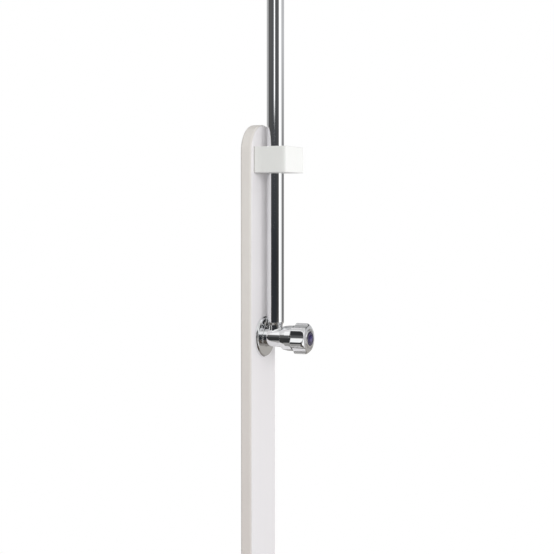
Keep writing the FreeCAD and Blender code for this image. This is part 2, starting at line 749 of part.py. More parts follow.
def valve_body():
    body = new_body("valve_body", (ZERO, pipe_y, size("valveHeight")))
    offset = size("pipeOffset")

    def along(corners):
        """Turns (reach from the post's face, radius) into places from the pipe's axis."""
        return [(offset - reach, radius) for reach, radius in corners]

    barrel = new_sketch(body, "YZ_Plane")
    shank = size("shankRadius")
    relief = nut_rear - "shankReliefWidth"
    outline(barrel, along([
        (shank_rear, 0), (shank_rear, shank), (relief, shank), (relief, shank - "shankReliefDepth"),
        (nut_rear, shank - "shankReliefDepth"), (nut_rear, shank), (size("gasketThickness"), shank),
        (size("gasketThickness"), "flangeRadius"), (flange_front, "flangeRadius"),
        (flange_front, "barrelRadius"), (hub_front - "hubLength", "barrelRadius"),
        (hub_front, "hubRadius"), (hub_front, "barrelRadius"),
        (size("barrelFront"), "barrelRadius"), (size("barrelFront"), 0)]))
    revolve(body, barrel, "H_Axis")
    neck = new_sketch(body, "XZ_Plane")
    foot = size("neckHeight")
    outline(neck, [(0, 0), ("neckRadius", 0), ("neckRadius", foot - "neckFlare"),
                   ("neckCollarRadius", foot)]
            + spigot_corners(foot, 1)[:-1] + [(0, foot + "spigotLength")])
    revolve(body, neck)
    passage = new_sketch(body, "YZ_Plane")
    filter_seat = shank_rear + "filterThickness"
    outline(passage, along([
        (shank_rear - PAST, 0), (shank_rear - PAST, size("filterRadius") + "slip"),
        (filter_seat, size("filterRadius") + "slip"), (filter_seat, "inletRadius"),
        (size("seatReach"), "inletRadius"), (size("seatReach"), "chamberRadius"),
        (size("barrelFront") + PAST, "chamberRadius"), (size("barrelFront") + PAST, 0)]))
    groove(body, passage, "H_Axis")
    outlet = new_sketch(body, "XY_Plane")
    circle(outlet, 0, 0, spigot_bore)
    pocket(body, outlet, foot + size("spigotLength") * 2, reverse=True)
    spigot_grub_hole(body, foot + "grubDistance")
    named(spigot_seal("Riser_seal", ZERO, pipe_y, riser_foot, 1), "riser_seal")
    named(grub_screw("Riser_screw", (ZERO, pipe_y, riser_foot + "grubDistance")), "riser_screw")


def rose():
    """The flat cover plate with its rounded rim, a thin shell."""
    edge = size("roseRadius")
    collar = size("barrelRadius") + "boreClearance"
    top = size("roseHeight")
    wall = size("roseWall")
    flat = edge - "roseRound"
    shoulder = top - "roseRound"
    centre = (flat, shoulder)
    turned("rose", on_valve_axis, FRONTWARD, [
        (edge - wall, ZERO), (edge, ZERO), (edge, shoulder, centre, 1), (flat, top),
        (collar, top), (collar, top - wall), (flat, top - wall, centre, -1),
        (edge - wall, shoulder)])


def tap_fixing():
    """What holds the tap in the post, from the front gasket to the nut in the back recess."""
    turned("valve_gasket", on_valve_axis, FRONTWARD,
           ring_corners("shankHoleRadius", "flangeRadius", ZERO, "gasketThickness"))
    hole = size("shankRadius") + "slip"
    at = on_valve_axis
    named(washer("Back_washer", at, "-Y", washer_rear, "backWasherThickness", "backWasherRadius",
                 hole), "back_washer")
    block = rod("Back_nut_block", at, "-Y", nut_rear, "backNutHeight", "backNutRadius", HEXAGON)
    bore = rod("Back_nut_bore", at, "-Y", nut_rear - PAST, size("backNutHeight") + PAST * 2, hole)
    named(cut("Back_nut", block, bore), "back_nut")
    body = new_body("inlet_filter", on_valve_axis, FRONTWARD)
    disc = new_sketch(body, "XY_Plane", shank_rear)
    circle(disc, 0, 0, "filterRadius")
    circle(disc, 0, 0, "filterHoleRadius")
    pad(body, disc, "filterThickness")
    hole_sketch = new_sketch(body, "XY_Plane", shank_rear)
    circle(hole_sketch, "filterHoleCircle", 0, "filterHoleRadius")
    repeat_round(body, pocket(body, hole_sketch, "filterThickness", reverse=True), "filterHoles")


def bonnet():
    """The bell between the tap's hub and the knob."""
    rear = size("bonnetStart")
    front = size("bonnetFront")
    large = size("bonnetRadius")
    inner = size("barrelRadius") + size("boreClearance") / 2
    turned("bonnet", on_valve_axis, FRONTWARD, [
        (inner, rear), ("hubRadius", rear), (large, rear + "bonnetFlare"),
        (large, front - "bonnetEdge"),
        (large - "bonnetEdge", front), (size("cartridgeNeckRadius") + "slip", front),
        (size("cartridgeNeckRadius") + "slip", cartridge_neck), (inner, cartridge_neck)])


def cartridge():
    skirt = size("cartridgeSkirtRadius")
    thread = size("chamberRadius") - "slip"
    body = turned("cartridge", on_valve_axis, FRONTWARD, [
        ("cavityRadius", skirt_rear), (skirt, skirt_rear), (skirt, skirt_front),
        (thread, skirt_front), (thread, cartridge_flange),
        ("cartridgeFlangeRadius", cartridge_flange), ("cartridgeFlangeRadius", cartridge_neck),
        ("cartridgeNeckRadius", cartridge_neck), ("cartridgeNeckRadius", cartridge_front),
        (spindle_hole, cartridge_front), (spindle_hole, cavity_front),
        ("cavityRadius", cavity_front)])
    windows = new_sketch(body, "XZ_Plane")
    half = size("windowWidth") / 2
    rectangle(windows, -half, spindle_rear, half, spindle_rear + "windowHeight")
    pocket(body, windows, thread * 2, both_ways=True)
    turned("cartridge_seal", on_valve_axis, FRONTWARD,
           ring_corners("chamberRadius", "cartridgeFlangeRadius", size("barrelFront"),
                        cartridge_flange))


def ceramic_disc(label, rear, angle):
    """A ceramic disc with its two ports on a line at an angle."""
    body = new_body(label, on_valve_axis, FRONTWARD)
    plan = new_sketch(body, "XY_Plane", rear)
    circle(plan, 0, 0, "discRadius")
    for side in (-1, 1):
        circle(plan, size("discHoleCircle") * cosine(angle) * side,
               size("discHoleCircle") * sine(angle) * side, "discHoleRadius")
    pad(body, plan, "discThickness")


def valve_inside():
    """The seat's seal, the pair of ceramic discs and the spindle's bearing washer."""
    turned("seat_seal", on_valve_axis, FRONTWARD,
           ring_corners("seatSealBore", "discRadius", size("seatReach"), lower_disc_rear))
    ceramic_disc("lower_disc", lower_disc_rear, "lowerPortAngle")
    ceramic_disc("upper_disc", upper_disc_rear, "upperPortAngle")
    turned("spindle_washer", on_valve_axis, FRONTWARD,
           ring_corners(spindle_hole, "discRadius", spindle_shoulder, cavity_front))


def spindle():
    shaft = size("spindleRadius")
    seal_low = size("spindleSealReach")
    seal_high = seal_low + "spindleSealWidth"
    seal_floor = shaft - "spindleGroove"
    clip_low = cartridge_front + "running"
    clip_high = clip_low + "clipRingThickness"
    clip_floor = shaft - "clipRingGroove"
    bore = size("knobScrewRadius") + "slip"
    bore_floor = spindle_front - "knobScrewDepth" - "knobScrewSpare"
    turned("spindle", on_valve_axis, FRONTWARD, [
        (0, spindle_rear), ("discRadius", spindle_rear), ("discRadius", spindle_shoulder),
        (shaft, spindle_shoulder), (shaft, seal_low), (seal_floor, seal_low),
        (seal_floor, seal_high), (shaft, seal_high), (shaft, clip_low), (clip_floor, clip_low),
        (clip_floor, clip_high), (shaft, clip_high), (shaft, spindle_front),
        (bore, spindle_front), (bore, bore_floor), (0, bore_floor)])
    seal = seal_ring("Spindle_seal", on_valve_axis, seal_floor, spindle_hole)
    middle = (ZERO, post_front - seal_low - size("spindleSealWidth") / 2, size("valveHeight"))
    place(seal, middle, FRONTWARD)
    named(seal, "spindle_seal")
    turned("spindle_clip", on_valve_axis, FRONTWARD,
           ring_corners(clip_floor + "running", "clipRingRadius", clip_low, clip_high))


def knob():
    """The lobed knob: turned, then cut by evenly spaced round valleys."""
    outer = size("knobRadius")
    chamfer = size("knobRearChamfer")
    bevel = knob_front - "knobBevelLength" - "knobFaceRise"
    boss_rear = knob_rear + "knobBossGap"
    floor = knob_rear + "knobCavityDepth"
    body = turned("knob", on_valve_axis, FRONTWARD, [
        ("knobCavityRadius", knob_rear), (outer - chamfer, knob_rear), (outer, knob_rear + chamfer),
        (outer, bevel), ("knobBevelRadius", bevel + "knobBevelLength"),
        (size("indexRadius") + "slip", knob_front), (size("indexRadius") + "slip", index_floor),
        (size("knobScrewRadius") + "slip", index_floor),
        (size("knobScrewRadius") + "slip", spindle_front + "running"),
        (spindle_hole, spindle_front + "running"), (spindle_hole, boss_rear),
        ("knobBossRadius", boss_rear), ("knobBossRadius", floor), ("knobCavityRadius", floor)])
    near_side = outer * cosine("valleyHalfAngle")
    half_width = outer * sine("valleyHalfAngle")
    deep = outer - "valleyDepth"
    rise = near_side - deep
    valley_radius = (rise * rise + half_width * half_width) / (size(2) * rise)
    distance = deep + valley_radius
    valley = new_sketch(body, "XY_Plane", knob_rear - PAST)
    circle(valley, distance * cosine("firstValleyAngle"), distance * sine("firstValleyAngle"),
           valley_radius)
    repeat_round(body, pocket(body, valley, size("knobLength") + PAST * 2, reverse=True),
                 "knobLobes")


def knob_fixing():
    at = on_valve_axis
    head = rod("Knob_screw_head", at, "-Y", index_floor, "knobScrewHeadHeight",
               "knobScrewHeadRadius")
    tip = spindle_front - "knobScrewDepth"
    shaft = rod("Knob_screw_shaft", at, "-Y", tip, index_floor - tip, "knobScrewRadius")
    whole = joined("Knob_screw_whole", [head, shaft])
    head_top = index_floor + "knobScrewHeadHeight"
    drive = rod("Knob_screw_drive", at, "-Y", head_top - "knobScrewDriveDepth",
                "knobScrewDriveDepth", "knobScrewDriveRadius", HEXAGON)
    named(cut("Knob_screw", whole, drive), "knob_screw")
    outer = size("indexRadius")
    inner = outer - "indexWall"
    top = knob_front + "indexProud"
    edge = size("indexEdge")
    turned("index_button", on_valve_axis, FRONTWARD, [
        (inner, index_floor), (outer, index_floor), (outer, top - edge), (outer - edge, top),
        (0, top), (0, top - "indexWall"), (inner, top - "indexWall")])


# Shower head

head_place = (ZERO, head_y, ball_z)


def on_ball(radius, angle):
    """The (radius, height) of a point on a ball, by its angle from the top."""
    return (size(radius) * sine(angle), size(radius) * cosine(angle))


def ball_stud():
    ball = size("ballRadius")
    neck = size("ballNeckRadius")
    bore = size("ballBoreRadius")
    drop = size("ballDrop")
    shoulder = drop - "shoulderHeight"
    corners = spigot_corners(drop, 1)[:-1] + [(bore, drop + "spigotLength"), (bore, -leg(ball, bore),
              (ZERO, ZERO), 1), (neck, leg(ball, neck)), (neck, shoulder),
              (size("collarRadius"), shoulder), (size("collarRadius"), drop)]
    body = turned("ball_stud", head_place, UPWARD, corners)
    soften(body, "Chamfer", lambda e: every(e, lambda p: near(math.hypot(p.x, p.y), "collarRadius"))
           and len(e.Vertexes) == 1, "collarChamfer")
    spigot_grub_hole(body, drop + "grubDistance")
    named(spigot_seal("Stud_seal", ZERO, head_y, arm_end, 1), "stud_seal")
    named(grub_screw("Stud_screw", (ZERO, head_y, arm_end + "grubDistance")), "stud_screw")


def swivel_ring():
    centre = (ZERO, ZERO)
    top, bottom = size("ringTopAngle"), size("ringBottomAngle")
    turned("swivel_ring", head_place, UPWARD, [
        on_ball(ring_inner, top) + (centre, -1), on_ball(ring_inner, bottom),
        on_ball(ring_outer, bottom) + (centre, 1), on_ball(ring_outer, top)])


def collar_nut():
    outer = size("nutRadius")
    edge = size("nutEdge")
    thread = size("headNeckRadius") + "slip"
    centre = (ZERO, ZERO)
    opening = on_ball(nut_sphere, "nutOpeningAngle")
    body = turned("collar_nut", head_place, UPWARD, [
        opening + (centre, -1), (nut_sphere, ZERO), (nut_sphere, -size("headNeckTop") + "running"),
        (thread, -size("headNeckTop") + "running"), (thread, -size("nutSkirt")),
        (outer - edge, -size("nutSkirt")), (outer, edge - "nutSkirt"), (outer, size("nutTop") - edge),
        (outer - edge, size("nutTop")), (opening[0] + edge, size("nutTop"))])
    grip = new_sketch(body, "XY_Plane", -size("nutSkirt") - PAST)
    circle(grip, outer + "nutGripRadius" - "nutGripDepth", 0, "nutGripRadius")
    repeat_round(body, pocket(body, grip, size("nutSkirt") + "nutTop" + PAST * 2, reverse=True),
                 "nutGrips")


def head_shell():
    """The flat bell of the head, a shell between two concentric domes, with the ball's cup."""
    neck = size("headNeckRadius")
    cup = neck - "headNeckWall"
    top = -size("headNeckTop")
    shoulder = -size("nutSkirt") - "boreClearance"
    crown, edge = size("headCrownRadius"), size("headRadius")
    high, low = -size("headShoulder"), -size("headEdgeDrop")
    centre = (crown * crown - edge * edge + high * high - low * low) / (size(2) * (high - low))
    ball = root(crown * crown + (high - centre) * (high - centre)) - "headWall"
    inner = edge - "headWall"
    ledge = inner - "plateLedge"
    inside_top = centre + leg(ball, crown)
    floor = -size("headSealBottom")
    filter_seat = floor - "headFilterDrop"
    middle = (ZERO, centre)
    turned("head_shell", head_place, UPWARD, [
        (cup, top), (cup, floor), (size("headPassage"), floor), (size("headPassage"), filter_seat),
        (size("headOutletRadius"), filter_seat), (size("headOutletRadius"), inside_top),
        (crown, inside_top, middle, -1), (ledge, centre + leg(ball, ledge)), (ledge, plate_top),
        (inner, plate_top), (inner, -size("headBottom")), (edge, -size("headBottom")),
        (edge, low, middle, 1), (crown, high), (crown, shoulder), (neck, shoulder), (neck, top)])


def head_inside():
    centre = (ZERO, ZERO)
    cup = size("headNeckRadius") - "headNeckWall" - "slip"
    floor = -size("headSealBottom")
    top = on_ball(head_seal_sphere, "headSealTopAngle")
    bottom = on_ball(head_seal_sphere, "headSealBottomAngle")
    turned("ball_seal", head_place, UPWARD, [
        top + (centre, -1), bottom, (bottom[0], floor), (cup, floor), (cup, top[1])])
    body = new_body("head_filter", head_place)
    level = floor - "headFilterDrop"
    disc = new_sketch(body, "XY_Plane", level)
    circle(disc, 0, 0, size("headPassage") - "slip")
    circle(disc, 0, 0, "filterHoleRadius")
    pad(body, disc, "headFilterThickness")
    holes = new_sketch(body, "XY_Plane", level)
    circle(holes, "headFilterHoleCircle", 0, "filterHoleRadius")
    repeat_round(body, pocket(body, holes, "headFilterThickness", reverse=True), "filterHoles")


def spray_face():
    """The spray plate and the rubber mat whose nozzles stand through its rings of holes."""
    mat = new_body("nozzle_mat", head_place)
    sheet_plan = new_sketch(mat, "XY_Plane", plate_top)
    circle(sheet_plan, 0, 0, plate_radius - "matMargin")
    pad(mat, sheet_plan, "matThickness")
    plate = new_body("spray_plate", head_place)
    plate_plan = new_sketch(plate, "XY_Plane", -size("headBottom"))
    circle(plate_plan, 0, 0, plate_radius)
    pad(plate, plate_plan, "plateThickness")
    length = size("plateThickness") + "nozzleProud"
    for ring in range(SIZES["nozzleRings"] + 1):
        reach = size("nozzleRingPitch") * ring if ring else ZERO
        nozzle = new_sketch(mat, "XY_Plane", plate_top)
        circle(nozzle, reach, 0, "nozzleRadius")
        hole = new_sketch(plate, "XY_Plane", -size("headBottom"))
        circle(hole, reach, 0, size("nozzleRadius") + "slip")
        rubber = pad(mat, nozzle, length, reverse=True)
        opening = pocket(plate, hole, "plateThickness", reverse=True)
        if ring:
            repeat_round(mat, rubber, size("nozzlesPerRing") * ring)
            repeat_round(plate, opening, size("nozzlesPerRing") * ring)


def build():
    base_plate()
    foot_pad()
    bracket("front_bracket", post_front, UPWARD)
    bracket("rear_bracket", post_back, TURNED)
    bracket_screws()
    post_bolts()
    post()
    clip_block()
    clip_hardware()
    riser_lower()
    riser_coupling()
    upper_pipe()
    valve_body()
    rose()
    tap_fixing()
    bonnet()
    cartridge()
    valve_inside()
    spindle()
    knob()
    knob_fixing()
    ball_stud()
    swivel_ring()
    collar_nut()
    head_shell()
    head_inside()
    spray_face()


def check_and_write():
    """Stops on any failed object or bad shape, then writes one file for each sub-part."""
    doc.recompute()
    for item in doc.Objects:
        if "Invalid" in item.State or "Error" in item.State:
            raise RuntimeError(f"{item.Label} failed: {item.State}")
    for item in sub_parts:
        if item.Shape.isNull() or not item.Shape.isValid():
            raise RuntimeError(f"{item.Label} has no valid shape")
    os.makedirs("parts", exist_ok=True)
    for item in sub_parts:
        item.Shape.exportStep(os.path.join("parts", item.Label + ".step"))
        print(f"{item.Label}: {len(item.Shape.Solids)} solids, {item.Shape.Volume:.0f} mm3")


build()
check_and_write()
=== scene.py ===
"""Looks of an outdoor shower: its studio, its finishes and its finely shaped pieces.

Metres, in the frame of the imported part: +Z is up, the front faces -Y, and the origin is on the
ground under the post. Shapes are written in millimetres and scaled once, in new_piece.
"""
import json
import math
import bpy
import numpy as np
from mathutils import Matrix, Vector


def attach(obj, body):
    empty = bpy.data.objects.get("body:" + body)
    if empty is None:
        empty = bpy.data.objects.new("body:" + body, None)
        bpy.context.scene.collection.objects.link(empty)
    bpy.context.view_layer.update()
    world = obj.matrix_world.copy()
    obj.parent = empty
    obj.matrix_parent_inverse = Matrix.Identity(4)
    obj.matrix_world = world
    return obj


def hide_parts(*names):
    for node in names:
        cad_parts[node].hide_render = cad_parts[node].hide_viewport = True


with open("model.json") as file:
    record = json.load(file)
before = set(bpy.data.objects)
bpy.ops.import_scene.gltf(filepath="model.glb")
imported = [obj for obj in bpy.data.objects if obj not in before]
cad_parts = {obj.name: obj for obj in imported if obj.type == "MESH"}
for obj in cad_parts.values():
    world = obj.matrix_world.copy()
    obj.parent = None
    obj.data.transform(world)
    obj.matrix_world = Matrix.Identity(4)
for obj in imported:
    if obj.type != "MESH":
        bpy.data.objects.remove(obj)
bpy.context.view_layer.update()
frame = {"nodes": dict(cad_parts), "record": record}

MM = 0.001
PICTURE_SIZE = 554

# Places and sizes, in millimetres

POST_FACE = -9.0
VALVE_HEIGHT = 1050.0
PIPE_Y = -28.0
PIPE_RADIUS = 12.5
PIPE_WALL = 1.5
RISER_FOOT = 1072.4
COUPLING_LOW = 1600.0
COUPLING_HIGH = 1610.0
BEND_HEIGHT = 2060.0
BEND_RADIUS = 125.0
ARM_END = 2030.0
HEAD_Y = PIPE_Y - 2 * BEND_RADIUS
BALL_Z = 2004.0
BARREL_RADIUS = 14.0
BARREL_RISE = 0.9
BARREL_FRONT = 38.0
HUB_START = 32.0
HUB_RADIUS = 16.6
NECK_RADIUS = 10.5
NECK_HEIGHT = 22.4
PIPE_REACH = 19.0
BONNET_REAR = 33.0
BONNET_FRONT = 50.0
KNOB_REAR = 51.7
KNOB_FRONT = 75.0
KNOB_RADIUS = 22.3
KNOB_LOBES = 6
FIRST_VALLEY = 169.2
VALLEY_DEPTH = 3.4
VALLEY_HALF_ANGLE = 21.3
INDEX_FLOOR = 70.0
PINHOLE = 0.02


# Camera

def outward(azimuth, elevation):
    """The way out from the shower, at degrees from the front and above the ground."""
    turn, lift = math.radians(azimuth), math.radians(elevation)
    return Vector((math.sin(turn) * math.cos(lift), -math.cos(turn) * math.cos(lift),
                   math.sin(lift)))


def make_camera():
    """The photograph's view: its direction, its distance and its focal length in pixels."""
    azimuth, elevation = -64.32, 2.06
    distance, aside, above, focal_pixels = 2.1878, 0.0194, 0.088, 1500.0
    back = outward(azimuth, elevation)
    right = Vector((math.cos(math.radians(azimuth)), math.sin(math.radians(azimuth)), 0))
    target = Vector((0, POST_FACE * MM, VALVE_HEIGHT * MM + above)) + right * aside
    camera = bpy.data.objects.new("picture_camera", bpy.data.cameras.new("picture_camera"))
    camera.data.sensor_width = 36.0
    camera.data.lens = focal_pixels / PICTURE_SIZE * camera.data.sensor_width
    camera.data.clip_start, camera.data.clip_end = 0.05, 60.0
    turn = Matrix((right, back.cross(right), back)).transposed()
    camera.matrix_world = Matrix.Translation(target + back * distance) @ turn.to_4x4()
    bpy.context.scene.collection.objects.link(camera)
    bpy.context.scene.camera = camera
    bpy.context.scene.view_settings.view_transform = "Standard"


# Node trees

class Tree:
    """Short calls for building a node tree."""

    def __init__(self, tree):
        self.tree = tree
        self.tree.nodes.clear()

    def node(self, kind, **settings):
        """Adds a node; a setting is a property, or an input where its name is a socket's."""
        made = self.tree.nodes.new(kind)
        for name, value in settings.items():
            if hasattr(made, name):
                setattr(made, name, value)
        for name, value in settings.items():
            if not hasattr(made, name):
                self.feed(made.inputs[name.replace("_", " ")], value)
        return made

    def feed(self, socket, value):
        """Links a socket to another one, or sets its constant."""
        if isinstance(value, bpy.types.NodeSocket):
            self.tree.links.new(value, socket)
        elif hasattr(socket.default_value, "__len__") and len(value) < len(socket.default_value):
            socket.default_value = (*value, 1.0)
        else:
            socket.default_value = value

    def axes(self, vector):
        """The x, y and z of a place or direction."""
        return self.node("ShaderNodeSeparateXYZ", Vector=vector).outputs

    def maths(self, operation, first, second=0.0):
        """Works on one or two values."""
        made = self.tree.nodes.new("ShaderNodeMath")
        made.operation = operation
        self.feed(made.inputs[0], first)
        self.feed(made.inputs[1], second)
        return made.outputs[0]

    def times(self, first, second):
        """The product of two values."""
        return self.maths("MULTIPLY", first, second)

    def blend(self, share, first, second, mode="MIX"):
        """Mixes two colours."""
        share_in, first_in, second_in, colour_out = 0, 6, 7, 2
        made = self.tree.nodes.new("ShaderNodeMix")
        made.data_type = "RGBA"
        made.blend_type = mode
        self.feed(made.inputs[share_in], share)
        self.feed(made.inputs[first_in], first)
        self.feed(made.inputs[second_in], second)
        return made.outputs[colour_out]

    def spread(self, value, low, high, to_low=0.0, to_high=1.0, smooth=False):
        """Maps a value's range onto another, held at its ends."""
        made = self.tree.nodes.new("ShaderNodeMapRange")
        made.interpolation_type = "SMOOTHSTEP" if smooth else "LINEAR"
        for socket, number in zip(made.inputs, (value, low, high, to_low, to_high)):
            self.feed(socket, number)
        return made.outputs[0]

    def ramp(self, value, stops):
        """A straight colour ramp; a stop is its place and its grey or colour."""
        made = self.tree.nodes.new("ShaderNodeValToRGB")
        elements = made.color_ramp.elements
        while len(elements) < len(stops):
            elements.new(0.5)
        for element, (place, colour) in zip(elements, stops):
            element.position = place
            colour = (colour,) * 3 if isinstance(colour, float) else colour
            element.color = (*colour, 1.0)
        self.feed(made.inputs[0], value)
        return made.outputs[0]

    def noise(self, vector, scale, detail=2.0, roughness=0.5):
        """A soft random pattern between 0 and 1."""
        made = self.node("ShaderNodeTexNoise", Vector=vector, Scale=scale, Detail=detail,
                         Roughness=roughness)
        return made.outputs["Fac"]

    def choose(self, share, first, second):
        """Mixes the surfaces of two shader nodes."""
        made = self.node("ShaderNodeMixShader", Fac=share)
        self.feed(made.inputs[1], first.outputs[0])
        self.feed(made.inputs[2], second.outputs[0])
        return made


# Studio

def azimuth_stops(table):
    """Turns (azimuth in degrees, grey or colour) into stops of a ramp from -180 to 180."""
    return [((azimuth + 180) / 360, value) for azimuth, value in table]


def make_world():
    """A white studio: what the camera sees, what lights matt surfaces and what gloss mirrors."""
    world = bpy.data.worlds.new("studio")
    bpy.context.scene.world = world
    world.use_nodes = True
    tree = Tree(world.node_tree)
    across, away, up = tree.axes(tree.node("ShaderNodeTexCoord").outputs["Generated"])
    azimuth = tree.maths("ARCTAN2", across, tree.times(away, -1.0))
    around = tree.spread(azimuth, -math.pi, math.pi)

    def patch(base, colour, sides, bottom=None, top=None):
        """Lays a colour over a range of azimuths, with soft sides, bottom and top."""
        begin, full, fade, gone = sides
        mask = tree.ramp(around, azimuth_stops([
            (-180, 0.0), (begin, 0.0), (full, 1.0), (fade, 1.0), (gone, 0.0), (180, 0.0)]))
        if bottom is not None:
            mask = tree.times(mask, tree.spread(up, *bottom))
        if top is not None:
            mask = tree.times(mask, tree.spread(up, *top, 1.0, 0.0))
        return tree.blend(mask, base, colour)

    # Bands at eye level, which the upright pipe mirrors
    mirrored = tree.ramp(around, azimuth_stops([
        (-180, 0.48), (-173, 0.44), (-167, 0.05), (-126, 0.04), (-100, (0.029, 0.032, 0.037)),
        (-60, (0.027, 0.030, 0.035)), (-36, 0.036), (-25, 0.070), (-17, 0.30), (-14, 1.30),
        (2, 1.30), (7, 1.06), (16, 0.92), (25, 0.72), (34, 0.46), (45, 0.17), (52, 0.04),
        (67, 0.035), (75, 0.34), (84, 0.62), (110, 0.45), (150, 0.40), (180, 0.48)]))
    mirrored = tree.blend(1.0, mirrored, tree.spread(up, -0.02, 0.12, 0.0, 0.07), "ADD")
    # A narrow window on the left and a pale wall on the right, both above eye level
    mirrored = patch(mirrored, (1.3, 1.3, 1.3), (-87, -83, -71, -67), (0.066, 0.082),
                     (0.26, 0.30))
    mirrored = patch(mirrored, (0.56, 0.56, 0.57), (30, 42, 106, 120), bottom=(0.04, 0.12))
    # Ceiling, with a dark gap under it on the right
    sky = tree.ramp(around, azimuth_stops([
        (-180, 0.62), (-155, 0.72), (-140, 1.06), (-46, 1.06), (-32, 0.74), (0, 0.66),
        (40, 0.76), (100, 0.60), (130, 0.38), (180, 0.62)]))
    sky = tree.blend(tree.spread(up, 0.80, 0.87), sky, (0.66, 0.66, 0.66))
    mirrored = tree.blend(tree.spread(up, 0.37, 0.50), mirrored, sky)
    mirrored = patch(mirrored, (0.035, 0.035, 0.035), (26, 44, 106, 120), (0.28, 0.34),
                     (0.66, 0.86))
    # Ground, from straight down outwards
    ground = tree.ramp(tree.spread(up, -1.0, 0.0), [
        (0.0, 0.62), (0.10, 0.60), (0.13, 0.40), (0.28, 0.33), (0.36, 0.22), (0.46, 0.06)])
    mirrored = tree.blend(tree.spread(up, -0.56, -0.50, 1.0, 0.0), mirrored, ground)
    # Warm greys below eye level, on the right and in front on the left
    mirrored = patch(mirrored, (0.44, 0.42, 0.395), (28, 40, 110, 130), top=(-0.085, -0.065))
    mirrored = patch(mirrored, (0.26, 0.25, 0.235), (-48, -42, -26, -18), (-0.52, -0.46),
                     (-0.10, -0.06))

    # What lights matt surfaces
    walls = tree.ramp(around, azimuth_stops([
        (-180, 0.88), (-160, 0.66), (-142, (0.35, 0.34, 0.335)), (-87, (0.35, 0.34, 0.335)),
        (-63, 0.93), (-42, 0.93), (-18, 0.66), (18, 0.66), (42, 0.90), (138, 0.90),
        (180, 0.88)]))
    lit = tree.blend(tree.spread(up, -0.2, 0.9), walls, (0.60, 0.60, 0.60))
    rays = tree.node("ShaderNodeLightPath").outputs
    even = tree.node("ShaderNodeBackground", Color=lit)
    gloss = tree.node("ShaderNodeBackground", Color=mirrored)
    white = tree.node("ShaderNodeBackground", Color=(1.0, 1.0, 1.0))
    unseen = tree.choose(rays["Is Glossy Ray"], even, gloss)
    seen = tree.choose(rays["Is Camera Ray"], unseen, white)
    tree.node("ShaderNodeOutputWorld", Surface=seen.outputs[0])


def make_lamps():
    """Square soft lamps that face the shower's middle and that gloss doesn't mirror."""
    middle = Vector((0, -0.05, 1.15))
    for name, azimuth, elevation, distance, size, watts in [
            ("front_softbox", -52, 13, 3.2, 1.3, 33),
            ("key_softbox", -18, 13, 3.2, 1.0, 17.5),
            ("top_softbox", -12, 58, 3.0, 1.6, 7)]:
        lamp = bpy.data.objects.new(name, bpy.data.lights.new(name, "AREA"))
        lamp.data.shape = "SQUARE"
        lamp.data.size = size
        lamp.data.energy = watts
        way = outward(azimuth, elevation)
        lamp.location = middle + way * distance
        lamp.rotation_euler = way.to_track_quat("Z", "Y").to_euler()
        lamp.visible_glossy = False
        lamp.visible_camera = False
        bpy.context.scene.collection.objects.link(lamp)


def make_floor():
    """A pale floor that runs out into the white ground and keeps the shadow near the foot."""
    mesh = bpy.data.meshes.new("floor")
    reach, corners, drop = 1.5, 96, 0.0005
    turns = [2 * math.pi * corner / corners for corner in range(corners)]
    mesh.from_pydata([(reach * math.cos(turn), reach * math.sin(turn), 0) for turn in turns], [],
                     [tuple(range(corners))])
    floor = bpy.data.objects.new("floor", mesh)
    bpy.context.scene.collection.objects.link(floor)
    floor.location.z = -drop
    material = bpy.data.materials.new("studio_floor")
    material.use_nodes = True
    tree = Tree(material.node_tree)
    spot = tree.node("ShaderNodeTexCoord").outputs["Object"]
    radius = tree.node("ShaderNodeVectorMath", operation="LENGTH", Vector=spot).outputs["Value"]
    across, away, _ = tree.axes(spot)
    rays = tree.node("ShaderNodeLightPath").outputs
    plain = tree.blend(tree.noise(spot, 3.0, 3.0), (0.84, 0.84, 0.84), (0.88, 0.88, 0.88))
    ahead = tree.blend(tree.spread(across, -0.05, 0.12), (0.11, 0.095, 0.08), (0.33, 0.31, 0.29))
    mirrored = tree.blend(tree.spread(away, -0.25, 0.10), ahead, (0.43, 0.42, 0.41))
    colour = tree.blend(rays["Is Glossy Ray"], plain, mirrored)
    pale = tree.node("ShaderNodeBsdfDiffuse", Color=colour)
    white = tree.node("ShaderNodeEmission", Color=(1.0, 1.0, 1.0))
    outer = tree.spread(radius, 0.40, 1.4, smooth=True)
    surface = tree.choose(tree.times(outer, rays["Is Camera Ray"]), pale, white)
    tree.node("ShaderNodeOutputMaterial", Surface=surface.outputs[0])
    floor.data.materials.append(material)


# Finishes

NOISE_LOW = 0.2
NOISE_HIGH = 0.8

finishes = {}


def finish(name, build, **sockets):
    """A material with a Principled shader; build adds the nodes that vary over the surface."""
    material = bpy.data.materials.new(name)
    material.use_nodes = True
    tree = Tree(material.node_tree)
    shader = tree.node("ShaderNodeBsdfPrincipled", **sockets)
    tree.node("ShaderNodeOutputMaterial", Surface=shader.outputs[0])
    build(tree, shader, tree.node("ShaderNodeTexCoord").outputs["Object"])
    finishes[name] = material


def stretched(tree, spot, scale):
    """The same place, stretched by a factor along each axis."""
    return tree.node("ShaderNodeMapping", Vector=spot, Scale=scale).outputs[0]


def coat(tree, shader, colour, pattern, smoothest, roughest):
    """Sets the colour, and a roughness that follows a pattern."""
    roughness = tree.spread(pattern, NOISE_LOW, NOISE_HIGH, smoothest, roughest)
    tree.feed(shader.inputs["Base Color"], colour)
    tree.feed(shader.inputs["Roughness"], roughness)


def bump(tree, shader, height, depth):
    """Raises the surface by up to a depth in metres."""
    made = tree.node("ShaderNodeBump", Height=height, Distance=depth, Strength=1.0)
    tree.feed(shader.inputs["Normal"], made.outputs[0])


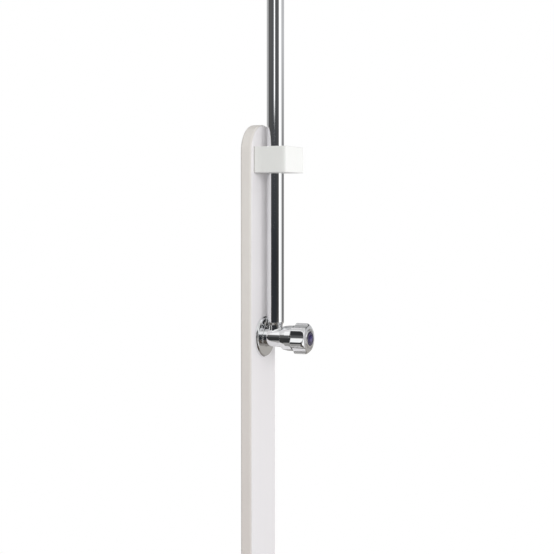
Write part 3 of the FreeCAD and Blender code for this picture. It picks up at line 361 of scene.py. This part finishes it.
def post_paint(tree, shader, spot):
    """Brushed white paint on board: faint streaks, warmer dull sides and painted shade along its
    rounded edges.
    """
    _, deep, height = tree.axes(spot)
    deep = tree.maths("ABSOLUTE", deep)
    streaks = tree.noise(stretched(tree, spot, (60, 60, 2.2)), 1.0, 4.0, 0.6)
    patches = tree.noise(spot, 3.5, 3.0)
    face = tree.blend(patches, (0.785, 0.78, 0.80), (0.80, 0.765, 0.775))
    face = tree.blend(tree.spread(streaks, 0.35, 0.75, 0.0, 0.35), face, (0.75, 0.74, 0.75))
    grime = tree.noise(stretched(tree, spot, (1, 1, 0.18)), 45.0, 5.0, 0.7)
    warm = tree.blend(tree.spread(grime, 0.3, 0.8), (0.785, 0.76, 0.725), (0.725, 0.69, 0.65))
    lower = tree.spread(height, 0.75, 1.30, 0.55, 0.0, smooth=True)
    warm = tree.blend(lower, warm, (0.68, 0.625, 0.60))
    sides = tree.spread(deep, 0.0078, 0.0089, 1.0, 0.0, smooth=True)
    colour = tree.blend(sides, face, warm)
    # Painted shade: the colour is darkened on the rounded edges of the board
    centimetres = tree.times(deep, 100.0)
    painted_edge_shade = tree.ramp(centimetres, [
        (0.0, 1.0), (0.66, 1.0), (0.78, 0.86), (0.86, 0.86), (0.895, 1.0)])
    coat(tree, shader, tree.blend(1.0, colour, painted_edge_shade, "MULTIPLY"), streaks, 0.38, 0.56)
    pores = tree.noise(spot, 900.0, 2.0)
    bump(tree, shader, tree.maths("ADD", tree.times(streaks, 0.7), pores), 0.00006)


def clip_plastic(tree, shader, spot):
    """Satin white block; its sides are painted greyer as shade, with painted shade at its front
    corners and a painted contact shadow by the post.
    """
    across, deep, _ = tree.axes(spot)
    across = tree.maths("ABSOLUTE", across)
    patches = tree.noise(spot, 22.0, 3.0)
    front = tree.blend(patches, (0.90, 0.905, 0.885), (0.93, 0.93, 0.915))
    # Painted shade: the sides get a greyer copy of the front's white
    side = tree.blend(patches, (0.765, 0.775, 0.75), (0.80, 0.805, 0.785))
    colour = tree.blend(tree.spread(across, 0.0300, 0.0318, smooth=True), front, side)
    # Painted shade: the front corners are darkened towards black in the colour
    painted_edge_shade = tree.times(tree.spread(across, 0.0272, 0.0300),
                      tree.spread(deep, -0.0570, -0.0545, 0.20, 0.0))
    colour = tree.blend(painted_edge_shade, colour, (0.0, 0.0, 0.0))
    # Painted contact shadow: a dark band where the block meets the post
    painted_contact_shadow = tree.spread(deep, -0.0112, -0.0102, 0.0, 0.9, smooth=True)
    colour = tree.blend(painted_contact_shadow, colour, (0.46, 0.45, 0.43))
    coat(tree, shader, colour, patches, 0.36, 0.48)
    bump(tree, shader, tree.noise(spot, 1500.0, 2.0), 0.00003)


def chrome(tree, shader, spot):
    """Polished plate: slightly uneven gloss, wipe marks and a few dried water spots."""
    wipes = tree.noise(stretched(tree, spot, (1, 1, 0.15)), 60.0, 4.0, 0.6)
    cells = tree.node("ShaderNodeTexVoronoi", Vector=spot, Scale=110.0)
    drops = tree.spread(cells.outputs["Distance"], 0.10, 0.16, 1.0, 0.0)
    few = tree.spread(tree.noise(spot, 9.0, 1.0), 0.66, 0.72)
    dull = tree.times(tree.times(drops, few), 0.02)
    roughness = tree.maths("ADD", tree.spread(wipes, 0.3, 0.8, 0.035, 0.085), dull)
    tree.feed(shader.inputs["Roughness"], roughness)
    tint = tree.blend(wipes, (0.83, 0.84, 0.855), (0.87, 0.875, 0.88))
    tree.feed(shader.inputs["Base Color"], tint)
    bump(tree, shader, tree.noise(stretched(tree, spot, (1, 1, 0.5)), 55.0, 2.0), 0.00002)


def powder(tree, shader, spot):
    """White powder coat with its fine pebbled skin."""
    patches = tree.noise(spot, 12.0, 3.0)
    colour = tree.blend(patches, (0.80, 0.80, 0.795), (0.84, 0.84, 0.84))
    coat(tree, shader, colour, patches, 0.42, 0.55)
    bump(tree, shader, tree.noise(spot, 1100.0, 2.0), 0.00008)


def steel(tree, shader, spot):
    """Turned and tumbled bright steel."""
    lines = tree.noise(stretched(tree, spot, (1, 1, 12)), 250.0, 3.0)
    colour = tree.blend(lines, (0.55, 0.56, 0.57), (0.70, 0.71, 0.72))
    coat(tree, shader, colour, lines, 0.22, 0.4)
    bump(tree, shader, lines, 0.00002)


def brass(tree, shader, spot):
    """Turned brass with darker stains."""
    lines = tree.noise(stretched(tree, spot, (1, 9, 1)), 260.0, 3.0)
    stains = tree.noise(spot, 60.0, 4.0)
    colour = tree.blend(stains, (0.80, 0.60, 0.28), (0.62, 0.45, 0.22))
    coat(tree, shader, colour, lines, 0.25, 0.45)
    bump(tree, shader, lines, 0.00002)


def soft_matt(light, dark, scale, depth):
    """A matt rubber or plastic skin between two colours."""
    def build(tree, shader, spot):
        grain = tree.noise(spot, scale, 3.0)
        coat(tree, shader, tree.blend(grain, dark, light), grain, 0.5, 0.75)
        bump(tree, shader, grain, depth)
    return build


def gloss_plastic(light, dark):
    """A moulded glossy skin with faint flow marks."""
    def build(tree, shader, spot):
        flow = tree.noise(spot, 70.0, 3.0)
        coat(tree, shader, tree.blend(flow, dark, light), flow, 0.14, 0.24)
        bump(tree, shader, flow, 0.00002)
    return build


def blue_index(tree, shader, spot):
    """Deep violet-blue lacquer, with a painted glint that lightens the middle of the disc."""
    x, _, z = tree.axes(spot)
    z = tree.maths("SUBTRACT", z, VALVE_HEIGHT * MM)
    radius = tree.maths("SQRT", tree.maths("ADD", tree.times(x, x), tree.times(z, z)))
    flow = tree.noise(spot, 260.0, 3.0)
    deep = tree.blend(flow, (0.010, 0.006, 0.046), (0.016, 0.010, 0.062))
    # Painted glint: the middle of the disc is lighter in the colour
    middle = tree.spread(radius, 0.0015, 0.0062, 1.0, 0.0, smooth=True)
    colour = tree.blend(middle, deep, (0.075, 0.062, 0.185))
    coat(tree, shader, colour, flow, 0.10, 0.20)


def make_finishes():
    """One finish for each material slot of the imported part."""
    finish("post_white", post_paint, Specular_IOR_Level=0.4)
    finish("clip_white", clip_plastic, Specular_IOR_Level=0.45)
    finish("frame_white", powder, Specular_IOR_Level=0.45)
    finish("chrome", chrome, Metallic=1.0)
    finish("zinc", steel, Metallic=1.0)
    finish("brass", brass, Metallic=1.0)
    finish("black_rubber", soft_matt((0.045, 0.045, 0.05), (0.02, 0.02, 0.022), 700.0, 0.00004))
    finish("grey_rubber", soft_matt((0.33, 0.34, 0.36), (0.26, 0.27, 0.29), 900.0, 0.00003))
    finish("index_blue", blue_index, Coat_Weight=0.6, Coat_Roughness=0.05)
    finish("ceramic", gloss_plastic((0.93, 0.92, 0.88), (0.88, 0.87, 0.83)))
    finish("nylon", soft_matt((0.90, 0.90, 0.86), (0.82, 0.82, 0.78), 500.0, 0.00003))
    finish("spray_grey", gloss_plastic((0.56, 0.57, 0.59), (0.50, 0.51, 0.53)))


def dress_frame():
    """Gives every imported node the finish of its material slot."""
    for part in frame["record"]["subparts"]:
        node = frame["nodes"][part["node"]]
        node.data.materials.clear()
        node.data.materials.append(finishes[part["material_slot"]])


# Mesh tools, in millimetres

def new_piece(name, points, faces, finish_name, body, stands_for, normals=None, sharp=None):
    """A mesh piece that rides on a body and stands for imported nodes.

    sharp is the angle in degrees from which an edge stays hard.
    """
    mesh = bpy.data.meshes.new(name)
    mesh.from_pydata([tuple(float(v) * MM for v in point) for point in points], [],
                     [tuple(int(i) for i in face) for face in faces])
    mesh.polygons.foreach_set("use_smooth", [True] * len(mesh.polygons))
    mesh.materials.append(finishes[finish_name])
    piece = bpy.data.objects.new(name, mesh)
    bpy.context.scene.collection.objects.link(piece)
    if normals is not None:
        normals = [tuple(float(v) for v in normal) for normal in normals]
        mesh.normals_split_custom_set_from_vertices(normals)
    if sharp is not None:
        mesh.set_sharp_from_angle(angle=math.radians(sharp))
        even = piece.modifiers.new("even_normals", "WEIGHTED_NORMAL")
        even.keep_sharp = True
    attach(piece, body)
    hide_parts(*stands_for)


def rounded(corners, steps=6):
    """A line through (across, up, radius) corners, each turned on an arc of its radius."""
    most_of_side = 0.49
    line = []
    places = [complex(across, up) for across, up, _ in corners]
    for index, (_, _, radius) in enumerate(corners):
        here = places[index]
        if radius == 0 or index in (0, len(corners) - 1):
            line.append((here.real, here.imag))
            continue
        back, onward = places[index - 1] - here, places[index + 1] - here
        back_way, onward_way = back / abs(back), onward / abs(onward)
        half = abs(np.angle(onward_way / back_way)) / 2
        reach = min(radius / math.tan(half), most_of_side * abs(back), most_of_side * abs(onward))
        bisector = back_way + onward_way
        centre = here + bisector / abs(bisector) * reach / math.cos(half)
        start = here + back_way * reach - centre
        turn = np.angle((here + onward_way * reach - centre) / start)
        for step in range(steps + 1):
            point = centre + start * np.exp(1j * turn * step / steps)
            line.append((point.real, point.imag))
    return line


def lathe(line, steps, shape=None):
    """Points and faces of a closed (radius, height) line turned about +Z.

    shape may change a radius by its angle.
    """
    points, faces = [], []
    for radius, height in line:
        for step in range(steps):
            angle = 2 * math.pi * step / steps
            reach = radius if shape is None else shape(radius, angle)
            points.append((reach * math.cos(angle), reach * math.sin(angle), height))
    rows = len(line)
    for row in range(rows):
        low, high = row * steps, (row + 1) % rows * steps
        for step in range(steps):
            after = (step + 1) % steps
            faces.append((low + step, low + after, high + after, high + step))
    return np.array(points), faces


def facing_front(points):
    """Turns an upright shape so that its height is the reach from the post's front face."""
    return np.stack([points[:, 0], POST_FACE - points[:, 2], VALVE_HEIGHT + points[:, 1]], 1)


def moved(points, x, y, z):
    """The same points, moved along each axis."""
    return points + np.array([x, y, z])


def turned_piece(name, corners, to_place, body, stands_for, steps=128):
    """A turned chrome piece from the rounded corners of its section."""
    points, faces = lathe(rounded(corners), steps)
    new_piece(name, to_place(points), faces, "chrome", body, stands_for, sharp=32)


# Shapes from fields of distance

def join_round(first, second, radius):
    """Both shapes together, with a fillet of the radius between them."""
    return (np.maximum(radius, np.minimum(first, second))
            - np.hypot(np.maximum(radius - first, 0), np.maximum(radius - second, 0)))


def meet_round(first, second, radius):
    """What both shapes share, with its new edges rounded."""
    return (np.minimum(-radius, np.maximum(first, second))
            + np.hypot(np.maximum(radius + first, 0), np.maximum(radius + second, 0)))


def skin(field, low, high, cell):
    """Points, faces and normals of the surface on which a field of distances is zero.

    Every cell that the surface crosses holds one point, and every crossed edge has one face.
    """
    counts = [int(math.ceil((b - a) / cell)) + 1 for a, b in zip(low, high)]
    axes = [a + cell * np.arange(n) for a, n in zip(low, counts)]
    inside = field(*np.meshgrid(*axes, indexing="ij")) < 0
    last_x, last_y, last_z = (n - 1 for n in counts)
    corners_in = sum(inside[i:last_x + i, j:last_y + j, k:last_z + k].astype(int)
                     for i in (0, 1) for j in (0, 1) for k in (0, 1))
    mixed = (corners_in > 0) & (corners_in < 8)
    number = np.full(mixed.shape, -1)
    number[mixed] = np.arange(mixed.sum())
    points = np.stack([axis[index] + cell / 2 for axis, index in zip(axes, np.nonzero(mixed))], 1)
    rounds, least_slope = 6, 0.2
    for _ in range(rounds):
        value, slope = field(*points.T), gradient(field, points)
        step = value / np.maximum((slope ** 2).sum(1), least_slope)
        points = points - slope * np.clip(step, -cell, cell)[:, None]
    faces = []
    for axis in range(3):
        here = np.moveaxis(inside, axis, 0)
        cells = np.moveaxis(number, axis, 0)
        crossing = here[:-1] != here[1:]
        i, j, k = np.nonzero(crossing[:, 1:-1, 1:-1])
        quad = np.stack([cells[i, j, k], cells[i, j + 1, k], cells[i, j + 1, k + 1],
                         cells[i, j, k + 1]], 1)
        outward = here[:-1][i, j + 1, k + 1]
        if axis == 1:
            outward = ~outward
        quad[~outward] = quad[~outward][:, ::-1]
        faces.append(quad)
    normals = gradient(field, points)
    normals /= np.linalg.norm(normals, axis=1)[:, None]
    return points, np.concatenate(faces), normals


def gradient(field, points):
    """The slope of a field at points, by differences."""
    step = 0.02
    slopes = []
    for axis in range(3):
        ahead, behind = points.copy(), points.copy()
        ahead[:, axis] += step
        behind[:, axis] -= step
        slopes.append((field(*ahead.T) - field(*behind.T)) / (2 * step))
    return np.stack(slopes, 1)


def skinned_piece(name, field, low, high, body, stands_for, cell):
    """A chrome piece from a field over x, the reach from the post's front face, and z."""
    points, faces, normals = skin(field, low, high, cell)
    points = np.stack([points[:, 0], POST_FACE - points[:, 1], VALVE_HEIGHT + points[:, 2]], 1)
    normals = normals * np.array([1, -1, 1])
    new_piece(name, points, faces[:, ::-1], "chrome", body, stands_for, normals=normals)


# Riser and gooseneck

def tube(name, path, stands_for):
    """A pipe with softened ends along a path of (y, z, direction) rings in the Y-Z plane."""
    sides, lip = 96, 0.35
    inner = PIPE_RADIUS - PIPE_WALL
    edge = [(inner, 0.0), (PIPE_RADIUS - lip, 0.0), (PIPE_RADIUS - lip * 0.3, lip * 0.3),
            (PIPE_RADIUS, lip), (PIPE_RADIUS, 3 * lip)]
    rings = [(path[0], radius, shift) for radius, shift in edge]
    rings += [(place, PIPE_RADIUS, 0.0) for place in path[1:-1]]
    rings += [(path[-1], radius, -shift) for radius, shift in reversed(edge)]
    rings += [(place, inner, 0.0) for place in reversed(path[1:-1])]
    points, faces = [], []
    for (y, z, angle), radius, shift in rings:
        way = (math.cos(angle), math.sin(angle))
        for side in range(sides):
            turn = 2 * math.pi * side / sides
            out = radius * math.cos(turn)
            points.append((radius * math.sin(turn), y + way[0] * shift - way[1] * out,
                           z + way[1] * shift + way[0] * out))
    for row in range(len(rings)):
        for side in range(sides):
            after = (side + 1) % sides
            low, high = row * sides, (row + 1) % len(rings) * sides
            faces.append((low + side, low + after, high + after, high + side))
    new_piece(name, points, faces, "chrome", "column", stands_for, sharp=40)


def make_pipes():
    """The riser, the gooseneck and the coupling between them."""
    riser_rings, arm_rings, bend_rings = 12, 10, 73
    up = math.pi / 2
    heights = np.linspace(RISER_FOOT, COUPLING_LOW, riser_rings)
    tube("riser_pipe", [(PIPE_Y, z, up) for z in heights], ["riser_lower"])
    heights = np.linspace(COUPLING_HIGH, BEND_HEIGHT, arm_rings)[:-1]
    path = [(PIPE_Y, z, up) for z in heights]
    for angle in np.linspace(0, math.pi, bend_rings):
        path.append((PIPE_Y - BEND_RADIUS + BEND_RADIUS * math.cos(angle),
                     BEND_HEIGHT + BEND_RADIUS * math.sin(angle), up + angle))
    path.append((HEAD_Y, ARM_END, up + math.pi))
    tube("gooseneck_pipe", path, ["upper_pipe"])
    bore, plug, outer, groove, edge = 6.5, 10.9, 14, 13.6, 0.9
    turned_piece("riser_joint", [
        (bore, -20, 0), (10.6, -20, 0.6), (plug, -19, 0.2), (plug, 0, 0), (outer, 0, edge),
        (outer, 4.2, 0.3), (groove, 4.6, 0.2), (groove, 5.4, 0.2), (outer, 5.8, 0.3),
        (outer, 10, edge), (plug, 10, 0), (plug, 29, 0.2), (10.6, 30, 0.6), (bore, 30, 0)],
        lambda points: moved(points, 0, PIPE_Y, COUPLING_LOW), "column", ["riser_coupling"])


# Tap

def tap_field(x, reach, z):
    """The tap's barrel, foot and hub, and the neck with its collar, with fillets between."""
    barrel_rear, foot_radius, foot_rear, foot_front = 1.2, 17.0, 1.0, 3.6
    around = np.hypot(x, z - BARREL_RISE)
    barrel = meet_round(around - BARREL_RADIUS,
                        np.maximum(barrel_rear - reach, reach - BARREL_FRONT), 0.3)
    foot = meet_round(around - foot_radius,
                      np.maximum(foot_rear - reach, reach - foot_front), 0.4)
    hub_step, hub_gap, hub_bend = 0.3, 0.1, 0.85
    along = np.clip((reach - HUB_START) / (BONNET_REAR - HUB_START), 0, 1)
    least = BARREL_RADIUS + hub_step
    hub_radius = least + (HUB_RADIUS - least) * along ** hub_bend
    hub = meet_round(np.hypot(x, z - BARREL_RISE * (1 - along)) - hub_radius,
                     np.maximum(HUB_START - reach, reach - BONNET_REAR + hub_gap), 0.25)
    out = np.hypot(x, reach - PIPE_REACH)
    neck = meet_round(np.maximum(out - NECK_RADIUS, -z), z - NECK_HEIGHT, 0.3)
    collar_radius, collar_depth, rise, flare, evened = 12.3, 5.0, 1.9, 0.52, 0.89
    taper = (out - NECK_RADIUS - rise + (NECK_HEIGHT - z) * flare) * evened
    collar = meet_round(np.maximum(taper, out - collar_radius),
                        np.maximum(NECK_HEIGHT - collar_depth - z, z - NECK_HEIGHT), 0.3)
    body = np.minimum(join_round(barrel, foot, 0.8), hub)
    return join_round(body, join_round(neck, collar, 0.6), 1.2)


def make_tap():
    """The tap's body, its inlet through the post, its rose and its bonnet."""
    skinned_piece("tap_body", tap_field, (-18.2, -0.2, -18.2), (18.2, 39.2, 23.6),
                  "column", ["valve_body"], cell=0.6)
    bore, crest, deep, pitch, rear, thread_end = 6.2, 10.48, 0.9, 1.8, -32.0, -9.5
    shank = [(bore, rear, 0), (9.4, rear, 0.4), (9.9, rear + 0.8, 0)]
    rings = int((thread_end - rear) / pitch)
    for ring in range(rings):
        foot = rear + 1.2 + ring * pitch
        shank += [(crest - deep, foot, 0.1), (crest, foot + pitch / 2, 0.1)]
    shank += [(crest - deep, rear + 1.2 + rings * pitch, 0.1), (crest, -8.0, 0), (crest, 1.5, 0),
              (bore, 1.5, 0)]
    turned_piece("inlet_shank", shank, facing_front, "column", ["valve_body"])
    rose_rise = 1.3
    turned_piece("wall_rose", [
        (28.6, 0.0, 0), (29.5, 0.0, 0.2), (29.7, 0.5, 0.3), (29.6, 2.6, 1.0), (27.8, 4.6, 1.6),
        (26.0, 5.0, 1.2), (15.9, 5.2, 0.3), (15.5, 5.9, 0.3), (14.6, 6.0, 0.3), (14.2, 5.4, 0),
        (14.2, 4.1, 0), (25.6, 3.9, 1.0), (28.6, 1.9, 0)],
        lambda points: moved(facing_front(points), 0, 0, rose_rise), "column", ["rose"],
        steps=160)
    turned_piece("tap_bonnet", [
        (13.5, BONNET_REAR, 0), (16.9, BONNET_REAR, 0.2), (17.6, 36.6, 6.0), (18.3, 40.8, 6.0),
        (18.5, BONNET_FRONT, 0.9), (8.1, BONNET_FRONT, 0.2), (8.1, 43.0, 0), (13.5, 43.0, 0)],
        facing_front, "column", ["bonnet"])


def cone(around, reach, radius, start, forward, inward):
    """A cone that has its radius at the start and narrows by inward over each forward."""
    return ((around - radius) * forward + (reach - start) * inward) / math.hypot(forward, inward)


def knob_field(x, reach, z):
    """The lobed knob, with its valleys, face, recess and hollow back."""
    around = np.hypot(x, z)
    blank = meet_round(around - KNOB_RADIUS,
                       np.maximum(KNOB_REAR - reach, reach - KNOB_FRONT), 0.9)
    bevel = cone(around, reach, KNOB_RADIUS, KNOB_FRONT - 5.4, 3.0, 3.3)
    face = cone(around, reach, 19.0, KNOB_FRONT - 2.4, 2.4, 8.0)
    blank = meet_round(meet_round(blank, bevel, 1.4), face, 0.6)
    half_angle = math.radians(VALLEY_HALF_ANGLE)
    near_side, half_width = KNOB_RADIUS * math.cos(half_angle), KNOB_RADIUS * math.sin(half_angle)
    bottom = KNOB_RADIUS - VALLEY_DEPTH
    rise = near_side - bottom
    valley_radius = (rise * rise + half_width * half_width) / (2 * rise)
    distance = bottom + valley_radius
    for lobe in range(KNOB_LOBES):
        angle = math.radians(FIRST_VALLEY + 360 / KNOB_LOBES * lobe)
        valley = np.hypot(x - distance * math.cos(angle), z - distance * math.sin(angle))
        blank = meet_round(blank, valley_radius - valley, 0.6)
    groove_radius, groove_depth, recess_radius = 13.6, 0.9, 9.8
    groove = np.hypot(around - groove_radius, reach - (KNOB_FRONT - 0.5)) - groove_depth
    blank = meet_round(blank, -groove, 0.2)
    recess = np.maximum(around - recess_radius, INDEX_FLOOR - reach)
    blank = meet_round(blank, -recess, 0.35)
    hollow_radius, hollow_depth = 16.0, 10.3
    hollow = np.maximum(around - hollow_radius, reach - (KNOB_REAR + hollow_depth))
    return meet_round(blank, -hollow, 0.4)


def make_knob():
    """The lobed knob and its domed blue index."""
    skinned_piece("lobed_knob", knob_field, (-23.5, 50.4, -23.5), (23.5, 75.4, 23.5),
                  "knob", ["knob"], cell=0.5)
    line = rounded([
        (PINHOLE, INDEX_FLOOR, 0), (9.7, INDEX_FLOOR, 0), (9.7, KNOB_FRONT + 0.3, 0.4),
        (9.0, KNOB_FRONT + 0.8, 0.3), (7.9, KNOB_FRONT + 0.55, 0.4)])
    dome_radius, dome_foot, dome_rise = 7.4, KNOB_FRONT + 0.45, 0.7
    line += [(dome_radius * math.cos(turn), dome_foot + dome_rise * math.sin(turn))
             for turn in np.linspace(0, math.pi / 2, 9)[:-1]]
    line += [(PINHOLE, dome_foot + dome_rise)]
    points, faces = lathe(line, steps=96)
    new_piece("index_lens", facing_front(points), faces, "index_blue", "knob", ["index_button"],
              sharp=40)


# Shower head

def at_ball(points):
    """The same points, given from the centre of the head's ball joint."""
    return moved(points, 0, HEAD_Y, BALL_Z)


def ball_arc(radius, first, last, steps):
    """Sharp corners on a ball from one angle from the top to another."""
    return [(radius * math.sin(math.radians(angle)), radius * math.cos(math.radians(angle)), 0)
            for angle in np.linspace(first, last, steps)]


def gripped(radius, angle):
    """The nut's radius at an angle, with dents for the fingers."""
    grips, depth, half_width, waist = 12, 0.9, 0.24, 17.5
    place = (angle * grips / (2 * math.pi) + 0.5) % 1 - 0.5
    dent = depth * max(0.0, 1 - (place / half_width) ** 2)
    return radius - dent if radius > waist else radius


def make_head():
    """The ball joint on the pipe's end, the nut that holds the head to it, and the head."""
    turned_piece("ball_joint", [
        (4.0, 46.0, 0), (10.6, 46.0, 0.6), (10.9, 45.0, 0.2), (10.9, 26.0, 0), (14.0, 26.0, 0.8),
        (14.0, 20.0, 0.8), (6.0, 20.0, 1.2)] + ball_arc(12.5, 28.7, 161.3, 24)
        + [(4.0, -11.8, 0)], at_ball, "column", ["ball_stud"])
    nut = rounded([(14.05, 0, 0), (14.05, -1.9, 0), (16.1, -1.9, 0), (16.1, -15, 0.2),
                   (17.6, -15, 0.4), (19.0, -13.2, 0.8), (19.0, 9.6, 1.2), (17.0, 11.5, 1.0),
                   (11.0, 11.5, 0.4)] + ball_arc(14.0, 48.0, 86.0, 10))
    points, faces = lathe(nut, steps=192, shape=gripped)
    new_piece("grip_nut", at_ball(points), faces, "chrome", "head", ["collar_nut"], sharp=34)
    crown, edge, crown_z, edge_z, wall = 20.0, 75.0, -19.0, -36.0, 2.0
    centre = (crown ** 2 - edge ** 2 + crown_z ** 2 - edge_z ** 2) / (2 * (crown_z - edge_z))
    ball = math.hypot(crown, crown_z - centre)
    dome = [(radius, centre + math.sqrt(ball ** 2 - radius ** 2), 0)
            for radius in np.linspace(21.5, 72.5, 18)]
    inner = [(radius, height - wall, 0) for radius, height, _ in reversed(dome)]
    turned_piece("head_bell", [
        (15.2, -2.0, 0), (16.0, -2.0, 0.4), (16.0, -17.5, 2.0), (20.6, -19.3, 1.0)] + dome + [
        (edge, edge_z, 1.6), (edge, -43.4, 0.8), (74.2, -45.0, 0.4), (73.0, -45.0, 0.2),
        (73.0, -42.5, 0)] + inner[:-1] + [
        (5.0, -21.5, 0), (5.0, -15.0, 0), (6.0, -15.0, 0), (6.0, -12.0, 0), (14.5, -12.0, 0),
        (14.5, -2.0, 0)],
        at_ball, "head", ["head_shell"], steps=192)


def make_nozzles():
    """The rubber sheet behind the spray plate and its tapered nozzles."""
    points, faces = [], []

    def add(new_points, new_faces):
        start = len(points)
        points.extend(tuple(point) for point in new_points)
        faces.extend(tuple(start + index for index in face) for face in new_faces)

    sheet = [(PINHOLE, -41.3), (70.4, -41.3), (70.4, -42.5), (PINHOLE, -42.5)]
    add(*lathe(sheet, steps=64))
    tip = rounded([
        (1.6, -42.4, 0), (1.6, -44.9, 0), (1.5, -45.3, 0.3), (1.15, -46.9, 0.25),
        (0.55, -47.0, 0.1), (0.5, -46.3, 0), (PINHOLE, -46.0, 0)], steps=3)
    tip, tip_faces = lathe(tip, steps=16)
    rings, spacing = 6, 12
    for ring in range(rings):
        count = max(1, 6 * ring)
        for place in range(count):
            turn = 2 * math.pi * place / count
            add(moved(tip, spacing * ring * math.cos(turn), spacing * ring * math.sin(turn), 0),
                tip_faces)
    new_piece("spray_nozzles", at_ball(np.array(points)), faces, "grey_rubber", "head",
              ["nozzle_mat"], sharp=40)


make_camera()
make_world()
make_lamps()
make_floor()
make_finishes()
dress_frame()
make_pipes()
make_tap()
make_knob()
make_head()
make_nozzles()
